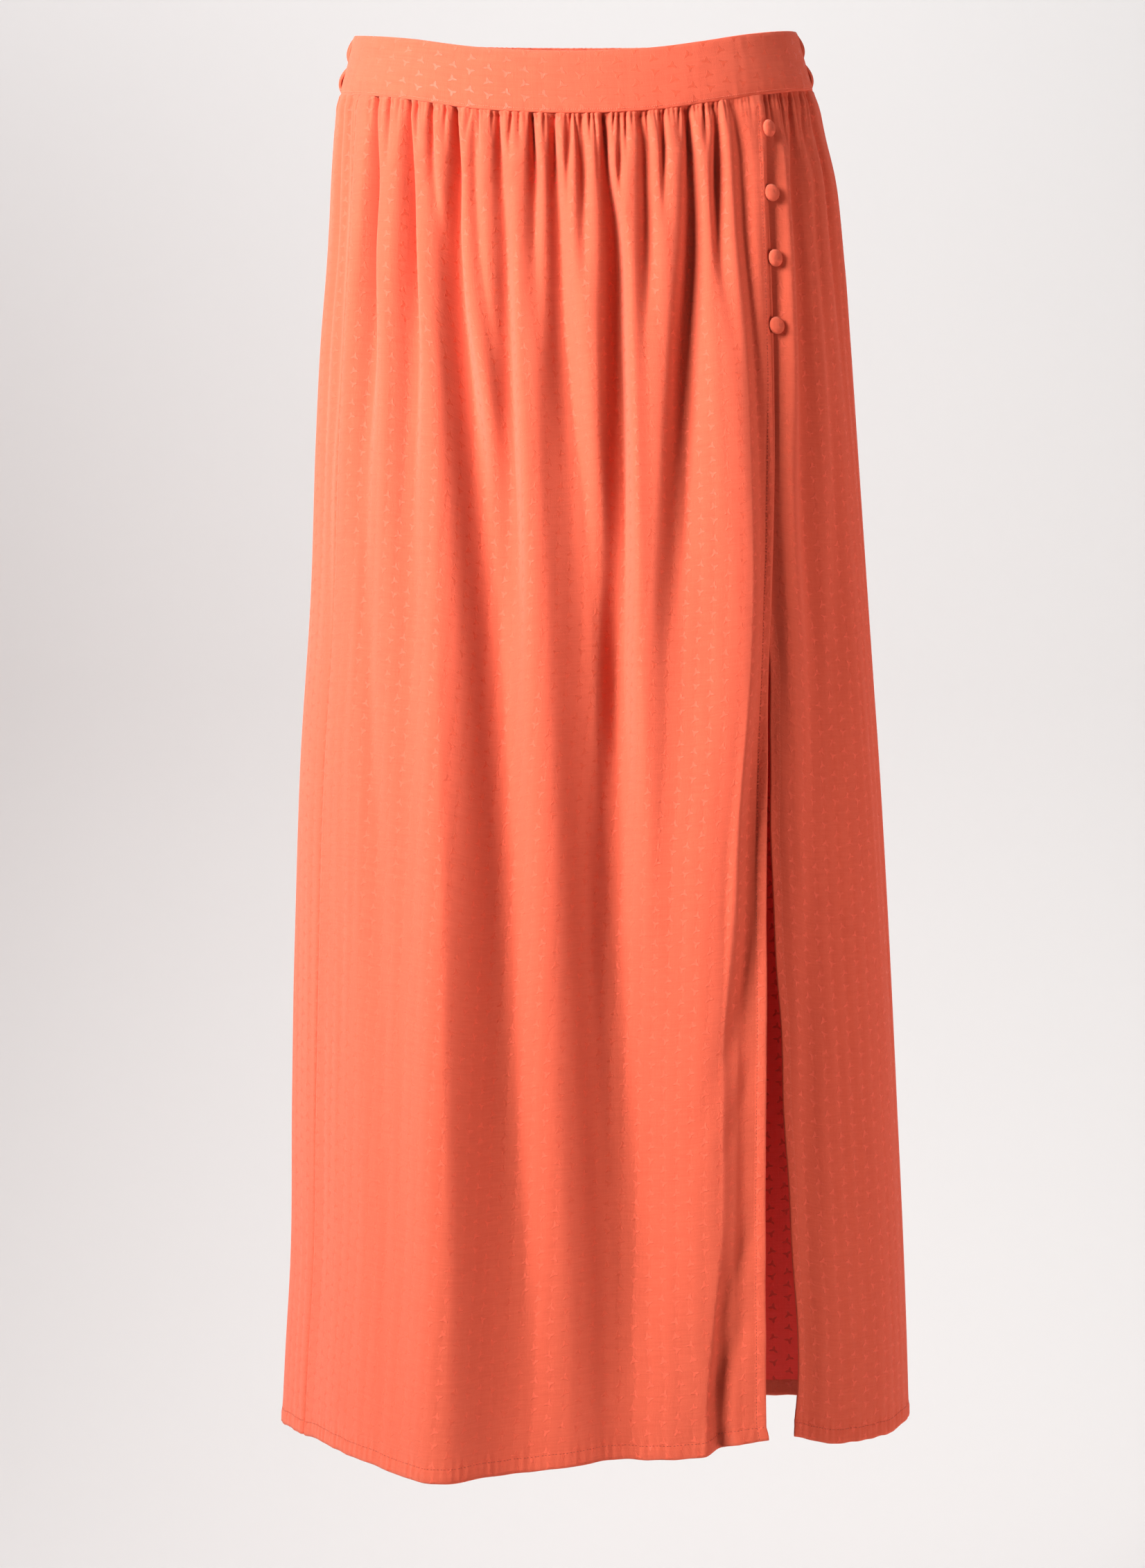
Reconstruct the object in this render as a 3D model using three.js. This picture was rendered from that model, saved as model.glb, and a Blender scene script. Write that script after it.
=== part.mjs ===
// Maxi skirt: flat shaped front waistband, elasticated back waistband, gathered front and back panels, and a
// buttoned placket on the front that opens into a slit down to the hem. It keeps its hollow worn form.
// Millimetres. +Z up, the front faces -Y and +X is to the right seen from the front. The origin is the centre of
// the waist, level with the ends of the waist seam, where the wearer's waist holds the skirt.
import * as THREE from "three";

// ---- driving dimensions ----
const PANEL_WALL = 1.2; // skirt cloth
const BAND_WALL = 2.0; // folded front band
const ELASTIC_WALL = 2.6; // back band with its elastic
const SEAM_GAP = 0.3; // between sewn pieces
const UNDERLAP_DROP = 2.5; // how far the side front lies inside the front panel at the placket
const NARROWEST = 6; // least half-width of a fold's flank
const LEFT_SEAM_DEG = 26; // side seams and band ends, degrees round the skirt
const RIGHT_SEAM_DEG = 172;
const BAND_LEFT_DEG = 8;
const BAND_RIGHT_DEG = 172.6;
const PUFF = 2.4; // how far each elastic channel stands out
const RUCHE = 0.8; // ripple of the elasticated band
const BUTTON_RADIUS = 5.7;
const BUTTON_HEIGHT = 4.3;
const BUTTON_SHANK_RADIUS = 1.3;
const LOOP_RADIUS = 0.5; // half the loop's thickness
const LOOP_REACH = 2.6; // the loop's inner radius round a shank
const CLOTH_COLOUR = 0xe8623f;
const SHADE_COLOUR = 0xd95736;

// Angles run round the skirt: 0 at the wearer's right side (-X), 90 at the front, 180 at +X, 270 at the back.
// Sections by height: how far each side reaches.
const SECTIONS = [
  { z: 45, left: 147, right: 148, front: 97, back: 99 },
  { z: 15, left: 153, right: 155.5, front: 101, back: 103 },
  { z: 0, left: 157, right: 160, front: 105, back: 107 },
  { z: -30, left: 160, right: 166.5, front: 109, back: 114 },
  { z: -60, left: 163, right: 174.5, front: 113, back: 121 },
  { z: -115, left: 166.5, right: 181, front: 119, back: 131 },
  { z: -170, left: 171, right: 185, front: 123, back: 138 },
  { z: -230, left: 174, right: 189, front: 126, back: 141 },
  { z: -340, left: 177.5, right: 196.5, front: 130, back: 141 },
  { z: -450, left: 184.5, right: 204, front: 134, back: 141 },
  { z: -560, left: 187.4, right: 210, front: 138, back: 143 },
  { z: -670, left: 189.3, right: 215.3, front: 142, back: 146 },
  { z: -785, left: 190.7, right: 220.4, front: 147, back: 149 },
  { z: -840, left: 193.9, right: 222.3, front: 149, back: 150 },
  { z: -905, left: 197, right: 224, front: 151, back: 151 },
];

// Waist seam, band top and hem heights round the skirt.
const EDGES = [
  { deg: 0, seam: -1, top: 38, hem: -888 },
  { deg: 45, seam: -17, top: 22.5, hem: -891 },
  { deg: 66, seam: -27.6, top: 13, hem: -899 },
  { deg: 90, seam: -31.8, top: 9, hem: -892 },
  { deg: 108, seam: -28.6, top: 12, hem: -889 },
  { deg: 121.5, seam: -22, top: 18, hem: -883 },
  { deg: 135, seam: -15, top: 25, hem: -888 },
  { deg: 180, seam: 1, top: 40, hem: -885 },
  { deg: 225, seam: 5, top: 45, hem: -891 },
  { deg: 270, seam: 8, top: 48, hem: -892 },
  { deg: 315, seam: 5, top: 45, hem: -890 },
  { deg: 360, seam: -1, top: 38, hem: -888 },
];

// Folds of the hanging cloth, from the hem up. Each key is a height, the degrees round the skirt, the depth (less than
// 0 stands out) and the half-widths of the left and right flanks.
const FRONT_FOLDS = [
  [
    [-848, 53.7, 1, 12, 12], [-494, 46.8, 2.4, 8, 10], [-273, 37, 4.2, 10, 10], [-185, 37.6, 9.5, 10, 8],
    [-110, 36.5, 12, 8.5, 6.5], [-30, 34.8, 5, 6, 6],
  ],
  [
    [-494, 55.9, 0, 12, 12], [-384, 53.6, 2.4, 12, 12], [-273, 50.9, 7, 13, 9], [-185, 50.5, 11.5, 13, 7],
    [-110, 49.4, 12.5, 9, 6.5], [-30, 46.7, 5, 6, 6],
  ],
  [
    [-896, 78.8, 11.5, 29, 25], [-759, 76.8, 17.5, 28, 23], [-627, 75.2, 20.5, 23.5, 21],
    [-494, 73.9, 20.5, 20.5, 20], [-384, 71.3, 19, 19, 19], [-273, 66.8, 17, 15.5, 20], [-185, 63.7, 15.5, 12.5, 8],
    [-110, 61.7, 12.5, 9, 6.5], [-30, 60.1, 6, 6, 6],
  ],
  [
    [-472, 76.5, 0, 8, 8], [-384, 75.7, 3, 10, 8], [-273, 74.7, 8.5, 12, 8], [-185, 73.5, 9.5, 10, 7],
    [-110, 72.2, 9, 7, 6.5], [-30, 70.9, 4, 6, 6],
  ],
  [[-200, 80, 0, 8, 8], [-110, 78.7, 6, 6.5, 6.5], [-30, 79.1, 4, 6, 6]],
  [
    [-896, 95.9, 10, 42, 38], [-759, 95.8, 15.5, 42, 38], [-627, 94.4, 18.5, 37, 32], [-494, 91.9, 17, 29, 19],
    [-384, 91.2, 16, 27, 20], [-273, 88.6, 16.5, 23, 12], [-185, 85.6, 14, 12.5, 11], [-110, 84.1, 11.5, 8.5, 7],
    [-30, 83.5, 5, 6, 6],
  ],
  [
    [-737, 95.1, 0, 16, 14], [-627, 95.2, 3, 16, 14], [-494, 95.9, 8.5, 15, 10], [-384, 94.6, 3, 10, 9],
    [-340, 93.9, 0, 10, 9],
  ],
  [
    [-561, 96.5, 0, 8, 8], [-494, 96.9, 1.5, 8, 8], [-384, 97.2, 10, 10, 7], [-273, 98, 17, 16, 7],
    [-185, 97.8, 16, 13, 7], [-110, 97, 13, 9.5, 7], [-30, 95.7, 6, 6, 6],
  ],
  [
    [-344, 101.4, 0, 8, 8], [-273, 102.1, 1.6, 8, 8], [-185, 102.6, 5.4, 7, 8], [-110, 103.7, 8, 7, 7],
    [-30, 104.3, 5, 6, 6],
  ],
  [
    [-759, 105.2, 1.6, 10, 12], [-494, 104.7, 3.6, 10, 13], [-384, 106.6, 6, 12, 13], [-273, 110.7, 11.5, 15, 10],
    [-185, 113.1, 14, 13, 8], [-110, 114.9, 12, 10, 7], [-30, 115.2, 6, 6, 6],
  ],
  [
    [-896, 112, -4, 40, 11], [-848, 112, -6, 40, 10], [-759, 115.1, -11, 40, 10], [-627, 116.8, -13, 38, 11],
    [-494, 119, -13.5, 34, 12], [-384, 121, -13, 30, 12], [-273, 123.2, -11, 26, 11], [-185, 124.2, -7.5, 22, 9],
    [-110, 124.8, -3, 10, 9], [-66, 124.7, -1, 8, 8],
  ],
  [
    [-450, 124.1, 0, 12, 9], [-384, 125.1, 0.5, 10, 8], [-273, 126.8, 2, 8, 6], [-185, 127.2, 3.8, 8, 6],
    [-110, 127, 6, 8, 6], [-30, 128.4, 2.5, 6, 6],
  ],
  [[-896, 113, 8.5, 7, 19], [-848, 113.5, 7.5, 7, 17], [-786, 115.2, 3, 7, 9], [-737, 116.2, 0, 7, 7]],
];
const SIDE_FRONT_FOLDS = [
  [
    [-583, 124.9, 0, 6, 8], [-384, 128.1, 1.2, 6, 9], [-273, 130.9, 1.8, 7, 10], [-185, 132.6, 2, 8, 10],
    [-110, 133.4, 2, 8, 9], [-30, 138.3, 1, 8, 8],
  ],
  [
    [-583, 131.3, 0, 10, 12], [-494, 132.7, -1.2, 10, 12], [-384, 135, -2.4, 10, 12], [-273, 137.3, -3.8, 9, 11],
    [-185, 139.1, -4.2, 8, 9], [-110, 140, -3.2, 6, 6.5], [-66, 140.5, -2, 5, 5], [-30, 143.5, -0.6, 3, 3],
  ],
  [
    [-896, 132, 3.2, 9, 18], [-759, 133.1, 3.2, 10, 16], [-627, 135.7, 3.2, 12, 16], [-494, 139.5, 3.2, 12, 15],
    [-384, 143.8, 3.8, 12, 14], [-273, 142.9, 5.2, 10, 14], [-185, 144.8, 6.4, 9, 12], [-110, 144.6, 6.6, 6.5, 9],
    [-66, 145.6, 6, 5, 8], [-30, 150, 2.5, 3, 3],
  ],
  [
    [-896, 141, 1.8, 16, 16], [-627, 144.3, 1.8, 14, 14], [-494, 146.4, 2, 14, 14], [-384, 151.5, 2.4, 12, 12],
    [-273, 155.5, 2.8, 10, 10], [-185, 156.8, 2.2, 9, 9], [-110, 154.1, 2.2, 6, 6], [-66, 155.4, 1.8, 4, 4],
  ],
  [
    [-384, 164, 0, 10, 10], [-185, 164.5, 2.2, 9, 9], [-100, 164, 4.2, 6, 6], [-50, 163.5, 4, 4, 4],
    [-5, 163.5, 2, 3, 3],
  ],
];
const BACK_FOLDS = [
  [
    [-896, 192, 6, 18, 20], [-627, 191, 5, 16, 18], [-384, 190, 6, 12, 14], [-200, 189, 8, 9, 8],
    [-110, 188.5, 8.5, 6, 5], [-50, 188, 6.5, 4.5, 3.5], [-5, 188, 3.5, 2.5, 2.5],
  ],
  [
    [-896, 209, 11, 19, 26], [-627, 208, 13, 18, 24], [-384, 206, 13, 14, 18], [-200, 204, 12, 10, 9],
    [-110, 203, 10, 7, 5], [-50, 203, 7.5, 5, 3.5], [-5, 203.4, 4.5, 2.5, 2.5],
  ],
  [
    [-500, 221, 0, 12, 12], [-300, 219, 5, 9, 8], [-180, 218, 9, 8, 6], [-100, 217.6, 9, 6, 4.5],
    [-50, 217.4, 7, 4.5, 3.5], [0, 217.5, 3.5, 2.5, 2.5],
  ],
  [
    [-896, 238, 12, 20, 28], [-627, 236.5, 17, 19, 26], [-384, 234, 17, 14, 20], [-200, 231.5, 14, 10, 8],
    [-110, 230.6, 11.5, 8, 4.5], [-50, 230.6, 8.5, 5, 3.5], [3, 231, 5, 2.5, 2.5],
  ],
  [
    [-420, 247, 0, 12, 12], [-280, 246, 5, 9, 9], [-180, 245, 8.5, 8, 6], [-100, 244.4, 8.6, 6, 4.5],
    [-50, 244.6, 7, 4.5, 3.5], [4, 244.6, 3.5, 2.5, 2.5],
  ],
  [
    [-896, 262, 11, 26, 20], [-627, 261, 14, 24, 18], [-384, 259, 15, 18, 13], [-200, 257.6, 14, 9, 9],
    [-110, 257.4, 12, 5, 7.5], [-50, 257, 8.5, 3.5, 5], [5, 257.4, 5, 2.5, 2.5],
  ],
  [
    [-360, 270.5, 0, 10, 10], [-240, 270.5, 5.5, 8, 8], [-140, 270.4, 8, 6, 5], [-60, 270, 7, 4.2, 4],
    [5, 270.2, 3.5, 2.5, 2.5],
  ],
  [
    [-896, 284, 12, 20, 28], [-627, 284.6, 16, 18, 25], [-384, 284.6, 17, 13, 19], [-200, 283.6, 15, 10, 8],
    [-110, 283.2, 12, 8, 4.5], [-50, 283, 8.5, 5, 3.5], [5, 283, 5, 2.5, 2.5],
  ],
  [
    [-460, 297, 0, 12, 12], [-300, 297, 5, 9, 9], [-180, 296.6, 9, 6, 8], [-100, 296.4, 9, 4.5, 6],
    [-50, 296.6, 7, 3.5, 4.5], [4, 296.6, 3.5, 2.5, 2.5],
  ],
  [
    [-896, 308, 11, 24, 20], [-627, 308.6, 14, 22, 17], [-384, 309.6, 14, 16, 12], [-200, 310, 12.5, 9, 8],
    [-110, 310, 10.5, 5, 7], [-50, 310.2, 8, 3.5, 5], [3, 310.2, 4.5, 2.5, 2.5],
  ],
  [
    [-420, 325, 0, 12, 12], [-280, 324, 5, 9, 9], [-180, 323.6, 8, 8, 6], [-100, 323.4, 8.6, 6, 4.5],
    [-50, 323.6, 7, 4.5, 3.5], [2, 323.6, 3.5, 2.5, 2.5],
  ],
  [
    [-896, 338, 7, 20, 18], [-627, 337.4, 8, 18, 16], [-384, 337, 9, 14, 12], [-200, 336.6, 10.5, 9, 8],
    [-110, 336.4, 10, 7, 5], [-50, 336.6, 7.6, 4.5, 3.5], [0, 336.6, 4.5, 2.5, 2.5],
  ],
  [
    [-896, 356, 3, 18, 16], [-560, 354, 3, 14, 13], [-384, 352, 5, 11, 10], [-200, 350.6, 8, 8, 7],
    [-110, 350, 8.6, 6, 5], [-50, 350, 6.6, 4.5, 3.5], [-3, 350, 3.5, 2.5, 2.5],
  ],
  [
    [-600, 366, 0, 14, 14], [-384, 366, 2, 10, 10], [-200, 365, 4.5, 8, 7], [-110, 364.4, 5.6, 5, 4.5],
    [-50, 364, 4.6, 4, 3.5], [-6, 364, 2.5, 2.5, 2.5],
  ],
  [
    [-500, 378, 0, 12, 12], [-300, 377, 1.6, 9, 9], [-150, 376, 3.4, 6, 6], [-70, 376, 4, 4, 4],
    [-10, 376, 2.2, 2.5, 2.5],
  ],
];
// Lines that the panels' columns follow, down the main folds: height and degrees.
const FRONT_LINES = [
  [[-848, 53.7], [-494, 46.8], [-384, 41.2], [-273, 37], [-110, 36.5], [-30, 34.8]],
  [[-896, 66], [-494, 59], [-384, 54.5], [-273, 50.9], [-110, 49.4], [-30, 46.7]],
  [[-896, 78.8], [-627, 75.2], [-494, 73.9], [-384, 71.3], [-273, 66.8], [-185, 63.7], [-110, 61.7], [-30, 60.1]],
  [[-896, 87.5], [-494, 82.5], [-384, 78.5], [-273, 74.7], [-110, 72.2], [-30, 70.9]],
  [[-896, 95.4], [-627, 94.4], [-494, 91.9], [-384, 91.2], [-273, 88.6], [-185, 85.6], [-110, 84.1], [-30, 83.5]],
  [[-896, 102], [-627, 100], [-494, 98.5], [-384, 97.6], [-273, 98], [-110, 97], [-30, 95.7]],
  [[-896, 107.5], [-494, 105.5], [-384, 106.6], [-273, 110.7], [-185, 113.1], [-110, 114.9], [-30, 115.2]],
  [
    [-896, 112.5], [-848, 112.5], [-759, 115.1], [-627, 116.8], [-494, 119], [-384, 121], [-273, 123.2],
    [-110, 124.4], [-30, 124.2],
  ],
  [[-896, 117], [-494, 121.8], [-384, 124], [-273, 126.3], [-185, 127.2], [-110, 127], [-30, 128.4]],
];
const SIDE_FRONT_LINES = [
  [[-896, 129.4], [-494, 129.7], [-384, 130.9], [-273, 131.8], [-185, 132.6], [-110, 133.4], [-66, 134.8], [-30, 138.3]],
  [[-896, 131.4], [-583, 131.6], [-494, 132.7], [-384, 135], [-273, 137.3], [-185, 139.1], [-110, 140], [-30, 143.5]],
  [[-896, 135], [-627, 137], [-494, 139.5], [-384, 143.2], [-273, 143.4], [-185, 144.8], [-110, 145], [-30, 150]],
  [[-896, 143], [-627, 146], [-494, 148.4], [-384, 152.5], [-273, 155.5], [-185, 156.8], [-110, 154.1], [-30, 156.5]],
  [[-896, 158], [-384, 164], [-5, 164]],
];
// The broad swell of the front's left half, in degrees, and how far it stands out at each height.
const SWELL_AT = 67;
const SWELL_WIDE = 25;
const SWELL = [[-895, 46], [-640, 27], [-420, 10], [-240, 0], [-20, 0]];
// The front's turned placket edge, from the centre line at each height.
const PLACKET_EDGE = [
  [-905, 122], [-804, 121.2], [-619, 122], [-465, 122.4], [-375, 124], [-316, 127], [-234, 129.1], [-189, 129.3],
  [-144, 128.4], [-98, 126.8], [-53, 124.2], [-20, 122.8], [0, 122.2],
];
// The side front's inner edge, from the centre line: under the placket above, drawing away from it below.
const UNDER_EDGE = [
  [-905, 141.8], [-885, 142.4], [-850, 145.2], [-806, 144.2], [-753, 141], [-708, 138.1], [-664, 135.3], [-619, 133.2],
  [-575, 130.8], [-530, 128.8], [-435, 127.7], [-375, 127], [-362, 125.6], [-350, 123.4], [-330, 121.5], [-290, 119.5],
  [-200, 117.5], [-110, 116], [5, 114],
];
// Middle of each button, and the degrees that it is turned to the right of the cloth's own facing.
const BUTTONS = [
  { x: 126.4, z: -37, turn: 17 },
  { x: 128.1, z: -80, turn: 0 },
  { x: 130.7, z: -122.6, turn: 9 },
  { x: 131.4, z: -167, turn: 2 },
];
// Rows of a panel from the waist seam, 0, to the hem, 1.
const ROWS = [0, 0.012, 0.035, 0.07, 0.115, 0.17, 0.235, 0.31, 0.39, 0.48, 0.58, 0.68, 0.78, 0.88, 1];
const FRONT_PITCH = 8; // arc between a panel's columns
const BACK_PITCH = 14;

// ---- curves through the tables ----
const rad = THREE.MathUtils.degToRad;

// Smooth curve through a table's column. The key column may rise or fall, and the ends run on level.
function through(table, key, value, at) {
  const up = table[table.length - 1][key] > table[0][key];
  const rows = up ? table : [...table].reverse();
  const n = rows.length;
  let i = 0;
  while (i < n - 2 && at > rows[i + 1][key]) i++;
  const slope = (j) => (rows[j + 1][value] - rows[j][value]) / (rows[j + 1][key] - rows[j][key]);
  const width = (j) => rows[j + 1][key] - rows[j][key];
  const tangent = (j) =>
    j === 0 ? slope(0) : j === n - 1 ? slope(n - 2) : (slope(j - 1) * width(j) + slope(j) * width(j - 1)) / (width(j - 1) + width(j));
  const h = width(i);
  const u = Math.min(1, Math.max(0, (at - rows[i][key]) / h));
  return (
    (1 + 2 * u) * (1 - u) ** 2 * rows[i][value] +
    u * (1 - u) ** 2 * h * tangent(i) +
    u * u * (3 - 2 * u) * rows[i + 1][value] +
    u * u * (u - 1) * h * tangent(i + 1)
  );
}

const edge = (name, deg) => through(EDGES, "deg", name, ((deg % 360) + 360) % 360);

// The smooth body of the skirt at an angle and a height: point, outward direction and arc per radian.
function body(deg, z) {
  const left = through(SECTIONS, "z", "left", z);
  const right = through(SECTIONS, "z", "right", z);
  const c = Math.cos(rad(deg));
  const s = Math.sin(rad(deg));
  const depth = through(SECTIONS, "z", s > 0 ? "front" : "back", z);
  const half = (left + right) / 2;
  const nx = -c / half;
  const ny = -s / depth;
  const n = Math.hypot(nx, ny);
  return { x: (right - left) / 2 - half * c, y: -depth * s, nx: nx / n, ny: ny / n, arc: Math.hypot(half * s, depth * c) };
}

// How far the hanging cloth stands in or out of the smooth body. A wide flank is steep near the ridge and flattens
// towards the bottom: the left one on the front, the wider one on the back.
const FOLDS = [
  ...[...FRONT_FOLDS, ...SIDE_FRONT_FOLDS].map((keys) => ({ keys, flat: -1 })),
  ...BACK_FOLDS.map((keys) => ({ keys, flat: keys[keys.length >> 1][3] >= keys[keys.length >> 1][4] ? -1 : 1 })),
];
const turned = (deg) => ((((deg + 180) % 360) + 360) % 360) - 180;
function relief(deg, z, arc) {
  let out = through(SWELL, 0, 1, z) * Math.exp(-((turned(deg - SWELL_AT) / SWELL_WIDE) ** 2));
  for (const { keys, flat } of FOLDS) {
    const s = rad(turned(deg - through(keys, 0, 1, z))) * arc;
    if (Math.abs(s) > 120) continue;
    const wide = Math.max(NARROWEST, through(keys, 0, s < 0 ? 3 : 4, z));
    const power = 1.8 + (s * flat > 0 ? 0.9 * THREE.MathUtils.smoothstep(wide, 7, 14) : 0);
    out -= through(keys, 0, 2, z) * Math.exp(-((Math.abs(s) / wide) ** power));
  }
  return out;
}

const bare = () => 0;
// A point of the folded cloth. lift adds to the relief.
function cloth(deg, z, lift = bare) {
  const b = body(deg, z);
  const d = relief(deg, z, b.arc) + lift(deg);
  return new THREE.Vector3(b.x + b.nx * d, b.y + b.ny * d, z);
}

// The level direction out of the folded cloth, from two small steps along it.
function facing(deg, z, lift = bare) {
  const round = cloth(deg + 0.15, z, lift).sub(cloth(deg - 0.15, z, lift));
  return new THREE.Vector3(round.y, -round.x, 0).normalize();
}

// ---- closed walls ----
// A wall of even thickness under a grid of cloth points, given as (column, row) to { point, out }.
function wall(columns, rows, at, thick) {
  const position = [];
  const index = [];
  const layer = columns * rows;
  const grid = [];
  for (let j = 0; j < rows; j++) for (let i = 0; i < columns; i++) grid.push(at(i, j));
  for (const { point } of grid) position.push(point.x, point.y, point.z);
  for (const { point, out } of grid) {
    const inner = point.clone().addScaledVector(out, -thick);
    position.push(inner.x, inner.y, inner.z);
  }
  const id = (i, j, k) => k * layer + j * columns + i;
  const quad = (a, b, c, d) => index.push(a, b, c, a, c, d);
  for (let j = 0; j < rows - 1; j++)
    for (let i = 0; i < columns - 1; i++) {
      quad(id(i, j + 1, 0), id(i + 1, j + 1, 0), id(i + 1, j, 0), id(i, j, 0));
      quad(id(i, j, 1), id(i + 1, j, 1), id(i + 1, j + 1, 1), id(i, j + 1, 1));
    }
  for (let i = 0; i < columns - 1; i++) {
    quad(id(i, 0, 0), id(i + 1, 0, 0), id(i + 1, 0, 1), id(i, 0, 1));
    quad(id(i, rows - 1, 1), id(i + 1, rows - 1, 1), id(i + 1, rows - 1, 0), id(i, rows - 1, 0));
  }
  for (let j = 0; j < rows - 1; j++) {
    quad(id(0, j, 0), id(0, j, 1), id(0, j + 1, 1), id(0, j + 1, 0));
    quad(id(columns - 1, j + 1, 0), id(columns - 1, j + 1, 1), id(columns - 1, j, 1), id(columns - 1, j, 0));
  }
  const geometry = new THREE.BufferGeometry();
  geometry.setAttribute("position", new THREE.Float32BufferAttribute(position, 3));
  geometry.setIndex(index);
  geometry.computeVertexNormals();
  return geometry;
}

const skirt = new THREE.Group();
function add(name, geometry, colour = CLOTH_COLOUR, roughness = 0.7) {
  const mesh = new THREE.Mesh(geometry, new THREE.MeshStandardMaterial({ color: colour, roughness, metalness: 0 }));
  mesh.name = name;
  skirt.add(mesh);
  return mesh;
}

// Angle at which the body reaches a distance from the centre line, on the front.
function angleAtX(x, z) {
  const left = through(SECTIONS, "z", "left", z);
  const right = through(SECTIONS, "z", "right", z);
  return THREE.MathUtils.radToDeg(Math.acos(((right - left) / 2 - x) / ((left + right) / 2)));
}
const placketAngle = (z) => angleAtX(through(PLACKET_EDGE, 0, 1, z), z);
const underAngle = (z) => angleAtX(through(UNDER_EDGE, 0, 1, z), z);

// A gathered panel from one edge to another. Its columns follow the lines, so that each main trough has one.
function panel(from, to, lines, pitch, lift = bare) {
  const keys = [from, ...lines.map((line) => (z) => through(line, 0, 1, z)), to];
  const middle = -300;
  const columns = [];
  keys.slice(1).forEach((next, k) => {
    const arc = rad(next(middle) - keys[k](middle)) * body((next(middle) + keys[k](middle)) / 2, middle).arc;
    const steps = Math.max(2, Math.round(arc / pitch));
    for (let s = 0; s < steps; s++) columns.push({ k, share: s / steps });
  });
  columns.push({ k: keys.length - 2, share: 1 });
  return wall(
    columns.length,
    ROWS.length,
    (i, j) => {
      const { k, share } = columns[i];
      let z = -300;
      let deg = 90;
      for (let pass = 0; pass < 8; pass++) {
        deg = keys[k](z) + (keys[k + 1](z) - keys[k](z)) * share;
        const top = edge("seam", deg) - SEAM_GAP / 2;
        z = top + (edge("hem", deg) - top) * ROWS[j];
      }
      return { point: cloth(deg, z, lift), out: facing(deg, z, lift) };
    },
    PANEL_WALL,
  );
}

// Half of a seam's gap, in degrees.
const gapAt = (deg, z) => THREE.MathUtils.radToDeg((SEAM_GAP * 0.55) / body(deg, z).arc);
// The side front lies inside the front panel at the placket and comes out to the side seam.
const underlap = (deg) => -UNDERLAP_DROP * Math.min(1, Math.max(0, (RIGHT_SEAM_DEG - deg) / 22));

add(
  "front_panel",
  panel((z) => LEFT_SEAM_DEG + gapAt(LEFT_SEAM_DEG, z), placketAngle, FRONT_LINES, FRONT_PITCH),
);
add(
  "side_front_panel",
  panel(underAngle, (z) => RIGHT_SEAM_DEG - gapAt(RIGHT_SEAM_DEG, z), SIDE_FRONT_LINES, FRONT_PITCH, underlap),
  SHADE_COLOUR,
);
add(
  "back_panel",
  panel(
    (z) => RIGHT_SEAM_DEG + gapAt(RIGHT_SEAM_DEG, z),
    (z) => LEFT_SEAM_DEG + 360 - gapAt(LEFT_SEAM_DEG, z),
    BACK_FOLDS,
    BACK_PITCH,
  ),
);

// ---- waistband ----
function band(fromDeg, toDeg, columns, heights, thick, lift) {
  return wall(
    columns,
    heights.length,
    (i, j) => {
      const deg = fromDeg + ((toDeg - fromDeg) * i) / (columns - 1);
      const bottom = edge("seam", deg) + SEAM_GAP / 2;
      const z = edge("top", deg) + (bottom - edge("top", deg)) * heights[j];
      const b = body(deg, z);
      const d = lift(i, heights[j]);
      return { point: new THREE.Vector3(b.x + b.nx * d, b.y + b.ny * d, z), out: new THREE.Vector3(b.nx, b.ny, 0) };
    },
    thick,
  );
}
const bandGap = 0.1; // degrees
add("front_waistband", band(BAND_LEFT_DEG + bandGap, BAND_RIGHT_DEG - bandGap, 38, [0, 0.5, 1], BAND_WALL, () => 0));
// Two elastic channels, each puffed out, rippled along their length.
add(
  "back_waistband",
  band(BAND_RIGHT_DEG + bandGap, BAND_LEFT_DEG + 360 - bandGap, 59, [0, 0.12, 0.38, 0.5, 0.62, 0.88, 1], ELASTIC_WALL, (i, h) => {
    const channel = Math.abs(Math.sin(2 * Math.PI * h));
    return channel * (PUFF + (i % 2 ? RUCHE : -RUCHE)) - 0.4;
  }),
  SHADE_COLOUR,
);

// ---- buttons on the side front, and the loops on the placket edge that hold them ----
const dome = [];
const DOME_STEPS = 5;
dome.push(new THREE.Vector2(0, 0), new THREE.Vector2(BUTTON_SHANK_RADIUS, 0));
const shankTop = UNDERLAP_DROP + 0.5;
dome.push(new THREE.Vector2(BUTTON_SHANK_RADIUS, shankTop), new THREE.Vector2(BUTTON_RADIUS - 0.9, shankTop));
for (let i = 0; i <= DOME_STEPS; i++) {
  const a = (i / DOME_STEPS) * (Math.PI / 2);
  dome.push(new THREE.Vector2(i === DOME_STEPS ? 0 : BUTTON_RADIUS * Math.cos(a), shankTop + 1 + (BUTTON_HEIGHT - 1) * Math.sin(a)));
}
const buttonGeometry = new THREE.LatheGeometry(dome, 14);
buttonGeometry.rotateX(Math.PI / 2); // its axis along +Z

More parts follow.
